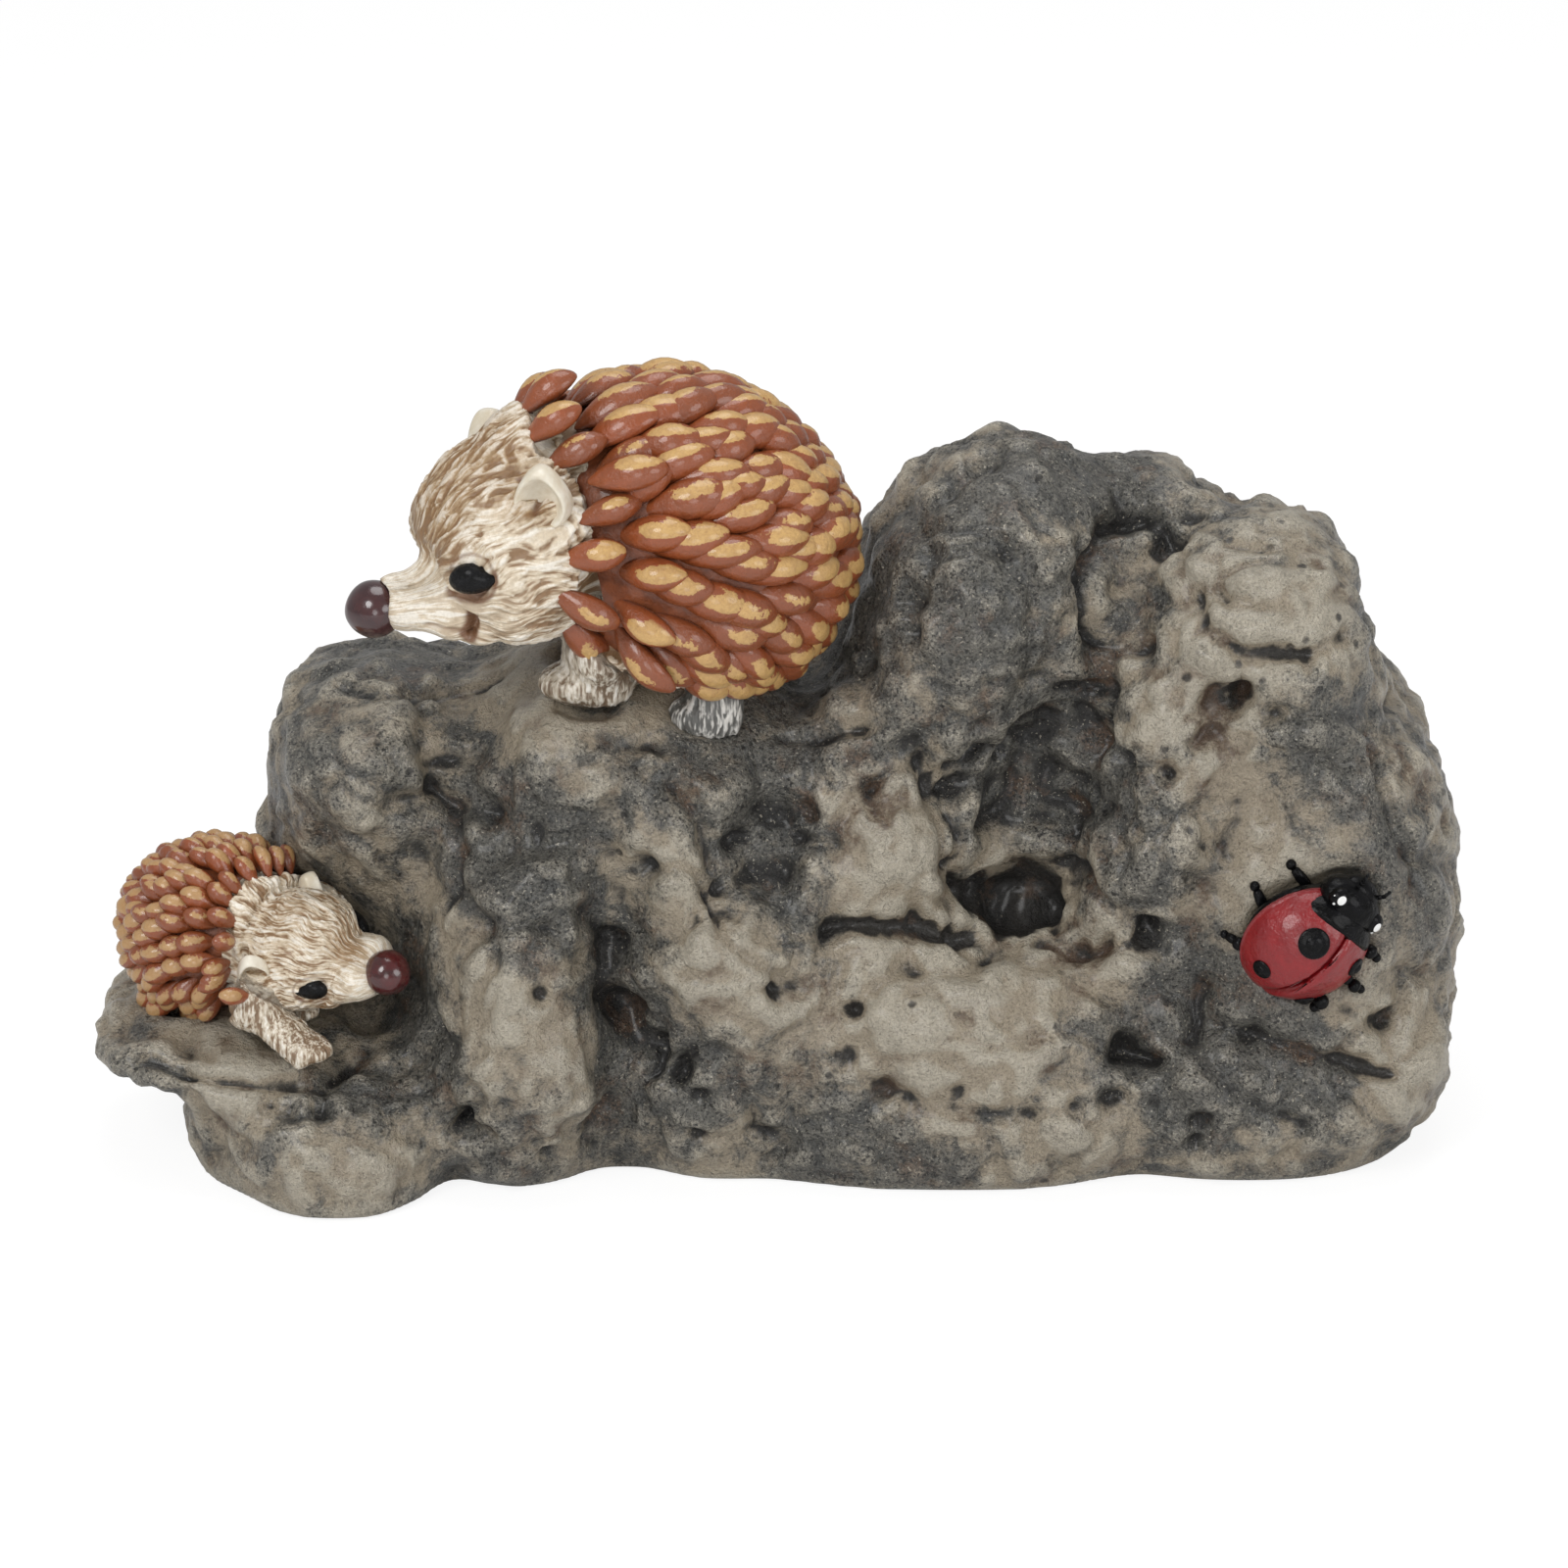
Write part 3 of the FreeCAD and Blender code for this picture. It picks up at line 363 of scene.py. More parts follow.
def rock_finish():
    finish = Finish("rock_paint", Coat_Weight=0.3, Coat_Roughness=0.22)
    place = finish.place()
    pit, hollow, wash, hollow_shade, stained = finish.attributes("pit", "hollow", "wash", "hollow_shade", "umber")
    broad = finish.noise(place, 15, 5, 0.62, twist=0.6)
    middling = finish.noise(place, 5.0, 5, 0.66, shift=31, twist=0.4)
    small = finish.noise(place, 1.7, 4, 0.7, shift=67)
    grain = finish.noise(place, 0.42, 3, 0.75, shift=11)
    grey = ((broad - 0.5) * 1.7 + (middling - 0.5) * 1.3 + wash * 0.52 + 0.45).from_to(0.24, 0.72)
    colour = finish.mix(grey, WARM_BEIGE, MID_GREY)
    colour = finish.mix((middling - 0.02).from_to(0.46, 0.62) * grey * 0.8, colour, COOL_GREY)
    umber = (finish.noise(place, 8.0, 4, 0.6, shift=90) + stained * 0.16).from_to(0.53, 0.67)
    colour = finish.mix(umber * small.from_to(0.36, 0.58) * 0.75, colour, UMBER)
    worn = (-pit * 1.6 - hollow * 0.25 - wash * 0.25 + (middling - 0.5) * 1.4).from_to(0.08, 0.6)
    colour = finish.mix(worn * (1 - grey * 0.6) * 0.7, colour, PALE_BEIGE)
    shade = (hollow * 0.30 + (middling - 0.5) * 0.9).from_to(0.22, 0.95)
    colour = finish.mix(shade * 0.72, colour, COOL_GREY)
    # Pits, hollows and cracks turn charcoal: painted shade, with umber where the rock is stained
    sunk = pit * 1.15 + hollow * 0.14 + hollow_shade * 0.85
    dark = (sunk + (small - 0.5) * 0.8 + (grain - 0.5) * 0.5).from_to(0.28, 0.85)
    colour = finish.mix(dark * 0.95, colour, finish.mix(umber - hollow_shade * 0.4, CHARCOAL, UMBER))
    specks = finish.noise(place, 0.62, 2, 0.6, shift=5).from_to(0.56, 0.64)
    colour = finish.mix(specks * (grey * 0.7 + 0.15), colour, CHARCOAL)
    # Small pores: sunk in the bump and darkened inside with painted shade
    bubble = (finish.cells(place, 3.4) * -1 + (small - 0.5) * 0.3).from_to(-0.24, -0.10)
    bubble = bubble * broad.from_to(0.50, 0.60)
    colour = finish.mix(bubble * 0.85, colour, CHARCOAL)
    sparkle = finish.noise(place, 0.5, 2, 0.7, shift=55).from_to(0.62, 0.70)
    colour = finish.mix(sparkle * grey * 0.6, colour, PALE_BEIGE)
    grit = (grain - 0.5) * (grey * 3.4 + 0.9) + (small - 0.5) * (grey * 1.0 + 0.5)
    colour = finish.scaled(colour, grit + 1.04)
    roughness = grain * 0.40 + dark * 0.15 + 0.14
    normal = finish.bump((middling, 1.6), (small, 1.05), (bubble * -1, 0.5), (grain, 0.36))
    return finish.paint(Base_Color=colour, Roughness=roughness, Normal=normal)


CREAM = (0.68, 0.575, 0.43)
PALE_CREAM = (0.86, 0.81, 0.72)
TAN = (0.40, 0.27, 0.145)
GROOVE_BROWN = (0.22, 0.115, 0.045)
STAIN_BROWN = (0.16, 0.065, 0.025)
LEG_PALE = (0.62, 0.60, 0.56)
LEG_GREY = (0.10, 0.098, 0.09)


def fur_finish(name, size):
    """Fur paint: cream crests, brown grooves; size is the width of a carved stroke."""
    finish = Finish(name, Coat_Weight=0.22, Coat_Roughness=0.28)
    place = finish.place()
    strand = finish.attribute("strand", "Vector")
    crest, tan, grey, bare, stain = finish.attributes("crest", "tan", "grey", "bare", "stain")
    broad = finish.noise(place, 5.5 * size, 3, 0.6)
    fine = finish.noise(place, 0.5 * size, 3, 0.7, shift=9)
    hair = finish.noise(strand, 0.55 * size, 2, 0.55)
    lock = finish.noise(strand, 1.5 * size, 2, 0.5, shift=23)
    colour = finish.mix((broad - 0.5) * 0.8 + (lock - 0.5) * 0.6 + tan, CREAM, TAN)
    raised = crest + (hair - 0.5) * 1.9 + (lock - 0.5) * 1.1
    bright = (raised + (fine - 0.5) * 0.5).from_to(0.45, 0.95)
    colour = finish.mix(bright * (1 - tan * 0.4) * 0.9, colour, PALE_CREAM)
    groove = 0.66 - raised * (1 - bare * 0.2) + (broad - 0.5) * 0.9 + tan * 0.12
    groove = groove.from_to(0.12, 0.56)
    colour = finish.mix(groove * (1 - bare * 0.75) * 0.92, colour, GROOVE_BROWN)
    leg_colour = finish.mix(raised.from_to(0.25, 0.75), LEG_GREY, LEG_PALE)
    colour = finish.mix(grey, colour, leg_colour)
    colour = finish.mix((stain + (fine - 0.5) * 0.3).from_to(0.15, 0.8) * 0.9, colour, STAIN_BROWN)
    colour = finish.scaled(colour, (fine - 0.5) * 0.5 + 1)
    normal = finish.bump((lock, 0.35 * size), (hair, 0.22 * size), (fine, 0.06 * size))
    roughness = fine * 0.3 + 0.30
    return finish.paint(Base_Color=colour, Roughness=roughness, Normal=normal)


QUILL_BROWN = (0.235, 0.062, 0.020)
QUILL_RUST = (0.33, 0.078, 0.022)
QUILL_ROOT_SHADE = (0.050, 0.013, 0.006)
OCHRE = (0.60, 0.375, 0.135)
OCHRE_DEEP = (0.40, 0.215, 0.075)
DULL_OCHRE = (0.47, 0.285, 0.125)


def quill_finish(name, size, dab_size, ochre):
    """Glossy red-brown with an uneven ochre dab on each quill's outer side."""
    finish = Finish(name, Coat_Weight=0.55, Coat_Roughness=0.10)
    place = finish.place()
    along, across, top, pick = finish.attributes("along", "across", "top", "pick")
    blotch = finish.noise(place, 2.2 * size, 4, 0.65)
    fine = finish.noise(place, 0.6 * size, 3, 0.7, shift=40)
    colour = finish.mix(pick * 0.6 + (blotch - 0.5) * 1.4, QUILL_BROWN, QUILL_RUST)
    # Darker towards the root and on the underside, where quills tuck under each other: painted
    # shade
    root = (0.66 - along * 0.8 - top * 0.70 + (fine - 0.5) * 0.3).from_to(0.0, 0.65)
    colour = finish.mix(root * 0.85, colour, QUILL_ROOT_SHADE)
    lengthwise = (along - 0.66 - (pick - 0.5) * 0.16) * (2.5 / dab_size)
    sideways = (across - 0.24 - (blotch - 0.5) * 0.5) * (1.7 / dab_size)
    inside = 1 - lengthwise * lengthwise - sideways * sideways
    inside = inside + (blotch - 0.5) * 2.2 + (fine - 0.5) * 0.9 + (pick - 0.5) * 0.9
    dab = inside.from_to(0.26, 0.42) * top.from_to(0.18, 0.5)
    dab_colour = finish.mix((fine - 0.5) * 1.8 + (blotch - 0.5) * 1.4 + 0.25, ochre, OCHRE_DEEP)
    colour = finish.mix(dab * 0.95, colour, dab_colour)
    normal = finish.bump((blotch, 0.40 * size), (fine, 0.10 * size))
    roughness = fine * 0.25 + dab * 0.12 + 0.2
    return finish.paint(Base_Color=colour, Roughness=roughness, Normal=normal)


# Gloss paints: two colours, brush size, roughness, depth, clear coat and mirror level
GLOSSES = {
    "quill_skin_gloss": ((0.24, 0.066, 0.022), (0.13, 0.036, 0.013), 0.8, 0.4, 0.2, 0.3, 0.5),
    "ear_ivory": ((0.66, 0.58, 0.44), (0.80, 0.75, 0.64), 0.8, 0.3, 0.05, 0.25, 0.5),
    "eye_gloss": ((0.003,) * 3, (0.008, 0.008, 0.009), 0.5, 0.14, 0.30, 0.15, 0.12),
    "mother_nose_gloss": ((0.065, 0.020, 0.020), (0.035, 0.012, 0.014), 1.0, 0.14, 0.06, 0.7, 0.5),
    "young_nose_gloss": ((0.040, 0.011, 0.011), (0.085, 0.007, 0.008), 0.8, 0.12, 0.05, 0.7, 0.5),
    "ladybird_red": ((0.255, 0.008, 0.011), (0.20, 0.006, 0.009), 0.9, 0.26, 0.22, 0.3, 0.5),
    "ladybird_black_gloss": ((0.002,) * 3, (0.005, 0.005, 0.006), 0.7, 0.16, 0.16, 0.10, 0.10),
    "ladybird_white": ((0.86,) * 3, (0.78, 0.78, 0.76), 0.4, 0.2, 0.02, 0.3, 0.5),
}


def gloss_finish(name):
    """Brushed gloss paint with slow changes between two colours."""
    colour, second, size, rough, depth, coat, mirror = GLOSSES[name]
    finish = Finish(name, Coat_Weight=coat, Coat_Roughness=0.06, Specular_IOR_Level=mirror)
    place = finish.place()
    broad = finish.noise(place, size * 3, 3, 0.6)
    fine = finish.noise(place, size, 3, 0.6, shift=17)
    mixed = finish.mix(((broad - 0.5) * 2.4 + 0.5).from_to(0, 1), colour, second)
    normal = finish.bump((broad, depth * 1.5), (fine, depth))
    return finish.paint(Base_Color=mixed, Roughness=fine * 0.16 + rough, Normal=normal)


# Photograph to part

def camera_axes():
    rise = math.radians(CAMERA_RISE)
    ahead = Vector((0, math.cos(rise), -math.sin(rise)))
    up = Vector((0, math.sin(rise), math.cos(rise)))
    place = Vector((0, 0, CAMERA_TARGET_HEIGHT)) - ahead * CAMERA_DISTANCE
    return place, ahead, up


def struck(tree, x_px, y_px):
    """Where the photograph's line of sight through a pixel meets a surface, in millimetres."""
    place, ahead, up = camera_axes()
    half = PHOTO_SIZE_PX / 2
    way = ahead * CAMERA_DISTANCE
    way += Vector((1, 0, 0)) * ((x_px - half) / PX_PER_MM) + up * ((half - y_px) / PX_PER_MM)
    hit, normal, _, _ = tree.ray_cast(place * MM, way.normalized())
    return (hit / MM, normal) if hit else (None, None)


def seen_spots(tree, table_px):
    """Rows of a table with a surface place for the two pixels; rows that miss are left out."""
    for x_px, y_px, *rest in table_px:
        spot, _ = struck(tree, x_px, y_px)
        if spot:
            yield spot, *rest


def middle(node):
    """Middle of a CAD node's box, in millimetres."""
    low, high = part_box(node)
    return (Vector(low) + Vector(high)) / (2 * MM)


class Heading:
    """Forward, left and up of one figure, read from its CAD nodes."""

    def __init__(self, rear, front, left, right, push=(0.0, 0.0), roll=0.0):
        self.origin = middle(rear)
        self.forward = (middle(front) - self.origin).normalized()
        across = middle(left) - middle(right)
        self.left = (across - self.forward * across.dot(self.forward)).normalized()
        self.left = Matrix.Rotation(math.radians(roll), 3, self.forward) @ self.left
        self.up = self.forward.cross(self.left)
        self.push = self.forward * push[0] + Vector((0, 0, push[1]))

    def way(self, forward, left, up):
        return self.forward * forward + self.left * left + self.up * up

    def mirrored(self, point):
        return point - self.left * (2 * (point - self.origin).dot(self.left))

    def pushed(self, places):
        """Places moved by the push, the head wholly and the rump not at all."""
        along = (places - np.array(self.origin)) @ np.array(self.forward)
        return places + np.outer(step_up(along, PUSH_START, PUSH_END), np.array(self.push))

    def pushed_point(self, point):
        return Vector(self.pushed(np.array([point]))[0])

    def angles(self, places):
        """Angle from the nose and turn from the top towards the left, in degrees."""
        offset = places - np.array(self.origin)
        along = offset @ np.array(self.forward) / (np.linalg.norm(offset, axis=1) + 1e-9)
        polar = np.degrees(np.arccos(np.clip(along, -1, 1)))
        turn = np.degrees(np.arctan2(offset @ np.array(self.left), offset @ np.array(self.up)))
        return polar, turn

    def matrix(self, place):
        turn = Matrix((self.forward, self.left, self.up)).transposed().to_4x4()
        return Matrix.Translation(place * MM) @ turn @ Matrix.Scale(MM, 4)


# Meshes

def pulled_places(name, pulls):
    """A CAD node's vertices in millimetres; a leg named in pulls leans, swells and shortens."""
    places = read_array(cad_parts[name].data.vertices, "co", 3) / MM
    if name in pulls:
        height = places[:, 2]
        share = (height.max() - height) / np.ptp(height)
        shift, swell, shorten = pulls[name]
        places = places + np.outer(LEG_TOP_SHIFT + (1 - LEG_TOP_SHIFT) * share, shift)
        sole = places[share > SOLE_SHARE].mean(axis=0)
        places = sole + (places - sole) * shorten
        centre = places.mean(axis=0)
        places[:, :2] = centre[:2] + (places[:, :2] - centre[:2]) * swell
    return places


def cad_bmesh(names, pulls):
    """One merged copy of CAD nodes."""
    bm = bmesh.new()
    for name in names:
        before = len(bm.verts)
        bm.from_mesh(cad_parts[name].data)
        bm.verts.ensure_lookup_table()
        for vert, place in zip(bm.verts[before:], pulled_places(name, pulls)):
            vert.co = place * MM
    bmesh.ops.remove_doubles(bm, verts=bm.verts, dist=WELD)
    return bm


def new_piece(bm, name):
    mesh = bpy.data.meshes.new(name)
    bm.to_mesh(mesh)
    bm.free()
    piece = bpy.data.objects.new(name, mesh)
    bpy.context.scene.collection.objects.link(piece)
    return piece


def finished(piece, slot, material, *replaced):
    """The piece gets its finish, rides on the part and stands for its CAD nodes."""
    piece.data.materials.clear()
    piece.data.materials.append(material)
    piece.data.shade_smooth()
    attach(piece, BODY)
    if replaced:
        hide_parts(*replaced)
    return piece


def applied(piece):
    """The piece with its modifiers worked into its mesh."""
    graph = bpy.context.evaluated_depsgraph_get()
    made = bpy.data.meshes.new_from_object(piece.evaluated_get(graph))
    piece.modifiers.clear()
    old = piece.data
    piece.data = made
    bpy.data.meshes.remove(old)
    return piece


def cast_skin(names, name, voxel, pulls):
    """One even, closed skin round CAD nodes."""
    piece = new_piece(cad_bmesh(names, pulls), name)
    remesh = piece.modifiers.new("even_skin", "REMESH")
    remesh.mode = "VOXEL"
    remesh.voxel_size = voxel * MM
    return applied(piece)


def softened(piece):
    rounding = piece.modifiers.new("soft_edges", "SUBSURF")
    rounding.levels = rounding.render_levels = 1
    return piece


def read_array(items, key, width, kind=np.float64):
    flat = np.empty(len(items) * width, dtype=kind)
    items.foreach_get(key, flat)
    return flat.reshape(-1, width)


class Skin:
    """The vertices of a piece in millimetres, for carving by small moves."""

    def __init__(self, piece):
        self.mesh = piece.data
        self.places = read_array(self.mesh.vertices, "co", 3) / MM
        edges = read_array(self.mesh.edges, "vertices", 2, np.int32)
        self.here = np.concatenate([edges[:, 0], edges[:, 1]])
        self.there = np.concatenate([edges[:, 1], edges[:, 0]])
        self.count = len(self.places)
        self.degree = np.maximum(1, np.bincount(self.here, minlength=self.count))

    def near_mean(self, values):
        """Mean of each vertex's neighbours."""
        if values.ndim == 1:
            return np.bincount(self.here, values[self.there], self.count) / self.degree
        return np.stack([self.near_mean(values[:, k]) for k in range(values.shape[1])], axis=1)

    def smoothed(self, values, rounds):
        for _ in range(rounds):
            values = (values + self.near_mean(values)) / 2
        return values

    def normals(self):
        self.store()
        return read_array(self.mesh.vertex_normals, "vector", 3)

    def store(self):
        self.mesh.vertices.foreach_set("co", (self.places * MM).ravel())
        self.mesh.update()

    def keep(self, name, values):
        """Stores a number or a vector for each vertex, which the finish reads."""
        kind, key = ("FLOAT", "value") if values.ndim == 1 else ("FLOAT_VECTOR", "vector")
        made = self.mesh.attributes.new(name, kind, "POINT")
        made.data.foreach_set(key, np.asarray(values, dtype=np.float32).ravel())

    def tree(self):
        self.store()
        bm = bmesh.new()
        bm.from_mesh(self.mesh)
        tree = BVHTree.FromBMesh(bm)
        bm.free()
        return tree

    def distance(self, point):
        return np.linalg.norm(self.places - np.array(point), axis=1)


def noise_at(places, size, shift=0.0, octaves=1):
    """Smooth noise from about -1 to 1 at each place, with features about size wide."""
    spots = places / size + shift
    if octaves == 1:
        return np.array([noise.noise(spot) for spot in spots])
    return np.array([noise.fractal(spot, 1.0, 2.0, octaves) for spot in spots])


def step_up(values, low, high):
    share = np.clip((values - low) / (high - low), 0, 1)
    return share * share * (3 - 2 * share)


def hump(distance, radius):
    """1 at the middle, falling smoothly to 0 at the radius."""
    share = np.clip(1 - (distance / radius) ** 2, 0, 1)
    return share * share


def thinned(spots, most):
    """About that many of the places, taken evenly."""
    return spots[:: max(1, len(spots) // most)]


def point_tree(spots):
    tree = KDTree(len(spots))
    for index, spot in enumerate(spots):
        tree.insert(spot, index)
    tree.balance()
    return tree


# Rock

def figure_tree():
    """The CAD vertices of everything that stands on the rock, quills left out."""
    spots = []
    for name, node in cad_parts.items():
        if name != "rock" and "quill_row" not in name:
            spots.append(read_array(node.data.vertices, "co", 3) / MM)
    return point_tree(thinned(np.concatenate(spots), FIGURE_POINTS))


def track_distance(skin, points):
    """Distance of each vertex from a track through points on the surface."""
    nearest = np.full(skin.count, np.inf)
    for start, end in zip(points, points[1:]):
        line = np.array(end - start)
        offset = skin.places - np.array(start)
        share = np.clip(offset @ line / (line @ line), 0, 1)
        gap = np.linalg.norm(offset - share[:, None] * line, axis=1)
        nearest = np.minimum(nearest, gap)
    return nearest


def rock_casting():
    piece = cast_skin(["rock"], "rock_casting", ROCK_VOXEL, {})
    skin = Skin(piece)
    skin.places = skin.smoothed(skin.places, ROCK_SETTLE)
    tree = skin.tree()
    normals = skin.smoothed(skin.normals(), 3)
    figures = figure_tree()
    gaps = np.array([figures.find(place)[2] for place in skin.places])
    calm = step_up(gaps, ROCK_CALM_START, ROCK_CALM_END)
    foot = step_up(skin.places[:, 2], 0.2, ROCK_FOOT)

    # Swells, folds and scattered pockets
    warp = [noise_at(skin.places, ROCK_WARP_SIZE, shift) for shift in ROCK_WARP_SHIFTS]
    warped = skin.places + np.stack(warp, axis=1) * ROCK_WARP_REACH
    height = np.zeros(skin.count)
    for index, (size, amplitude) in enumerate(ROCK_SWELLS):
        waves = noise_at(warped, size, 7 * index)
        height += amplitude * (2 * np.sqrt(waves ** 2 + 0.004) - 0.55)
    for index, (size, width, depth) in enumerate(ROCK_FOLDS):
        ridge = noise_at(warped, size, 19 + 5 * index)
        where = step_up(noise_at(skin.places, 2 * size, 50 + index), -0.15, 0.25)
        height -= depth * where * np.exp(-(ridge / width) ** 2)
    pocket = np.zeros(skin.count)
    for index, place in enumerate(warped / ROCK_POCKET_CELL):
        distances, centres = noise.voronoi(place)
        if noise.cell(centres[0] * 7.3) * 0.5 + 0.5 > ROCK_POCKET_SHARE:
            pocket[index] = max(0, 1 - distances[0] / ROCK_POCKET_WIDTH)
    height -= ROCK_POCKET_DEPTH * pocket ** 0.8

    # Dents, lumps and cracks at the places that the photograph shows
    ragged = noise_at(skin.places, 2.6, 13, 2) * 0.35 + noise_at(skin.places, 6, 29) * 0.35
    hollow_shade = np.zeros(skin.count)
    umber = np.zeros(skin.count)

    def frayed(spot, radius, fray):
        return hump(skin.distance(spot) * (1 + fray * ragged), radius)

    for spot, radius, depth in seen_spots(tree, ROCK_DENTS_PX):
        dent = frayed(spot, radius, FRAY_DENT)
        height -= depth * dent
        # The deeper the dent, the darker its painted shade
        hollow_shade += 0.9 * min(1, depth / radius) * dent
    # Black painted shade and umber stain at the listed places
    for spot, radius, black, brown in seen_spots(tree, ROCK_SHADE_AND_STAINS_PX):
        reach = frayed(spot, PAINT_SPREAD * radius, FRAY_SHADE_AND_STAIN)
        hollow_shade += black * reach
        umber += brown * reach
    for spot, radius, rise in seen_spots(tree, ROCK_LUMPS_PX):
        height += rise * frayed(spot, radius, FRAY_LUMP)
    for width, depth, places_px in ROCK_CRACKS_PX:
        spots = [spot for spot, in seen_spots(tree, places_px)]
        if len(spots) > 1:
            gap = track_distance(skin, spots) + ragged * FRAY_CRACK
            crack = np.exp(-(np.maximum(gap, 0) / width) ** 2)
            height -= depth * crack
            # Painted shade along each crack
            hollow_shade += 0.3 * depth * crack ** 2
    hollow_shade *= 0.35 + 0.65 * step_up(noise_at(skin.places, 2.8, 57, 2), -0.25, 0.2)
    height = np.clip(height, ROCK_DEEPEST, ROCK_HIGHEST)
    skin.places = skin.places + normals * (height * calm * foot)[:, None]
    skin.places[:, 2] = np.maximum(skin.places[:, 2], 0)
    skin.places = np.where((foot < 0.02)[:, None], skin.places, skin.smoothed(skin.places, 1))

    # Depth under the smoothed surface in small pits and in wider hollows, which the finish darkens
    # as painted shade
    normals = skin.normals()
    for name, rounds in ROCK_SUNK_ROUNDS:
        sunk = np.einsum("ij,ij->i", skin.smoothed(skin.places, rounds) - skin.places, normals)
        skin.keep(name, skin.smoothed(sunk, 1))
    wash = np.zeros(skin.count)
    for spot, radius, strength in seen_spots(tree, ROCK_WASHES_PX):
        wash += strength * frayed(spot, radius * PAINT_SPREAD, FRAY_WASH)
    skin.keep("wash", np.clip(wash, -MOST_PAINT, MOST_PAINT))
    skin.keep("hollow_shade", np.clip(hollow_shade, 0, MOST_PAINT))
    skin.keep("umber", np.clip(umber, 0, MOST_PAINT))
    finished(piece, "rock", rock_finish(), "rock")
    return skin.tree()


# Hedgehogs

def spaced_choice(skin, allowed, spacing, chooser):
    """Vertices in random order, none nearer to another than the spacing."""
    order = np.flatnonzero(allowed).tolist()
    chooser.shuffle(order)
    cells = {}
    chosen = []
    keys = np.floor(skin.places / spacing).astype(int)
    around = [(i, j, k) for i in (-1, 0, 1) for j in (-1, 0, 1) for k in (-1, 0, 1)]
    for index in order:
        key = tuple(keys[index])
        place = skin.places[index]
        clear = True
        for i, j, k in around:
            for other in cells.get((key[0] + i, key[1] + j, key[2] + k), ()):
                if np.sum((skin.places[other] - place) ** 2) < spacing * spacing:
                    clear = False
                    break
            if not clear:
                break
        if clear:
            cells.setdefault(key, []).append(index)
            chosen.append(index)
    return chosen


def carved_strokes(skin, flow, allowed, strokes, size, seed):
    """How high carved strokes of fur stand at each vertex, from 0 in the grooves to about 1."""
    spacing, length, width = (value * size for value in strokes[:3])
    chooser = random.Random(seed)
    normals = skin.normals()
    tree = point_tree(skin.places)
    crest = np.zeros(skin.count)
    for index in spaced_choice(skin, allowed, spacing, chooser):
        normal = normals[index]
        way = flow[index] - normal * (flow[index] @ normal)
        side = np.cross(normal, way)
        turn = math.radians(chooser.gauss(0, strokes[3]))
        way = way * math.cos(turn) + side * math.sin(turn)
        way /= np.linalg.norm(way) + 1e-9
        side = np.cross(normal, way)
        reach = length * chooser.uniform(*STROKE_LENGTHS)
        half = width * chooser.uniform(*STROKE_WIDTHS) / 2
        top = chooser.uniform(*STROKE_HEIGHTS)
        start = skin.places[index]
        near = tree.find_range(start + way * (reach / 2), reach * 0.6)
        near = np.fromiter((found[1] for found in near), dtype=int)
        if len(near) == 0:
            continue
        offset = skin.places[near] - start
        along = offset @ way / reach
        taper = half * np.sqrt(np.clip(1 - (1.5 * along - 0.55) ** 2, 0.02, 1))
        round_top = 1 - (offset @ side / taper) ** 2
        rise = np.where((along > 0) & (along < 1), 0.35 + 0.65 * along, 0)
        crest[near] = np.maximum(crest[near], top * rise * np.clip(round_top, 0, 1))
    return skin.smoothed(crest, 1)


def closest_kind(skin, heading, kinds, pulls):
    """For each group of CAD nodes, 1 at the vertices that it lies nearest to, else 0."""
    spots = []
    labels = []
    for label, names in enumerate(kinds):
        for name in names:
            found = thinned(heading.pushed(pulled_places(name, pulls)), KIND_POINTS)
            spots.append(found)
            labels += [label] * len(found)
    tree = point_tree(np.concatenate(spots))
    nearest = np.array([labels[tree.find(place)[1]] for place in skin.places])
    return [skin.smoothed((nearest == label).astype(float), 6) for label in range(len(kinds))]


def seen_at(places):
    """Pixels at which places in millimetres appear in the photograph."""
    origin, ahead, up = (np.array(vector) for vector in camera_axes())
    offset = np.asarray(places) - origin
    scale = CAMERA_DISTANCE * PX_PER_MM / (offset @ ahead)
    half = PHOTO_SIZE_PX / 2
    return np.stack([half + offset[:, 0] * scale, half - (offset @ up) * scale], axis=1)


def within_outline(places, heading, outline_px):
    """True where a place, or its mirror place if that is nearer, appears inside an outline."""
    _, ahead, _ = camera_axes()
    sideways = (places - np.array(heading.origin)) @ np.array(heading.left)
    far = sideways * (np.array(heading.left) @ np.array(ahead)) > 0
    twin = places - np.outer(2 * sideways, np.array(heading.left))
    seen = seen_at(np.where(far[:, None], twin, places))
    inside = np.zeros(len(places), dtype=bool)
    for (x0, y0), (x1, y1) in zip(outline_px, outline_px[1:] + outline_px[:1]):
        if y0 == y1:
            continue
        crossed = (seen[:, 1] > min(y0, y1)) & (seen[:, 1] <= max(y0, y1))
        inside ^= crossed & (seen[:, 0] < x0 + (seen[:, 1] - y0) * (x1 - x0) / (y1 - y0))
    return inside


class Hairline:
    """Where the quills begin: an angle from the nose for each turn round the head."""

    def __init__(self, tree, heading, places_px):
        spots = np.array([spot for spot, in seen_spots(tree, places_px)])
        polars, turns = heading.angles(spots)
        if turns.min() > -20 or turns.max() < 20:
            polars = np.concatenate([polars, polars])
            turns = np.concatenate([turns, -turns])
        order = np.argsort(turns)
        self.turns = turns[order]
        self.polars = polars[order]

    def at(self, turns):
        return np.interp(turns, self.turns, self.polars, period=360)


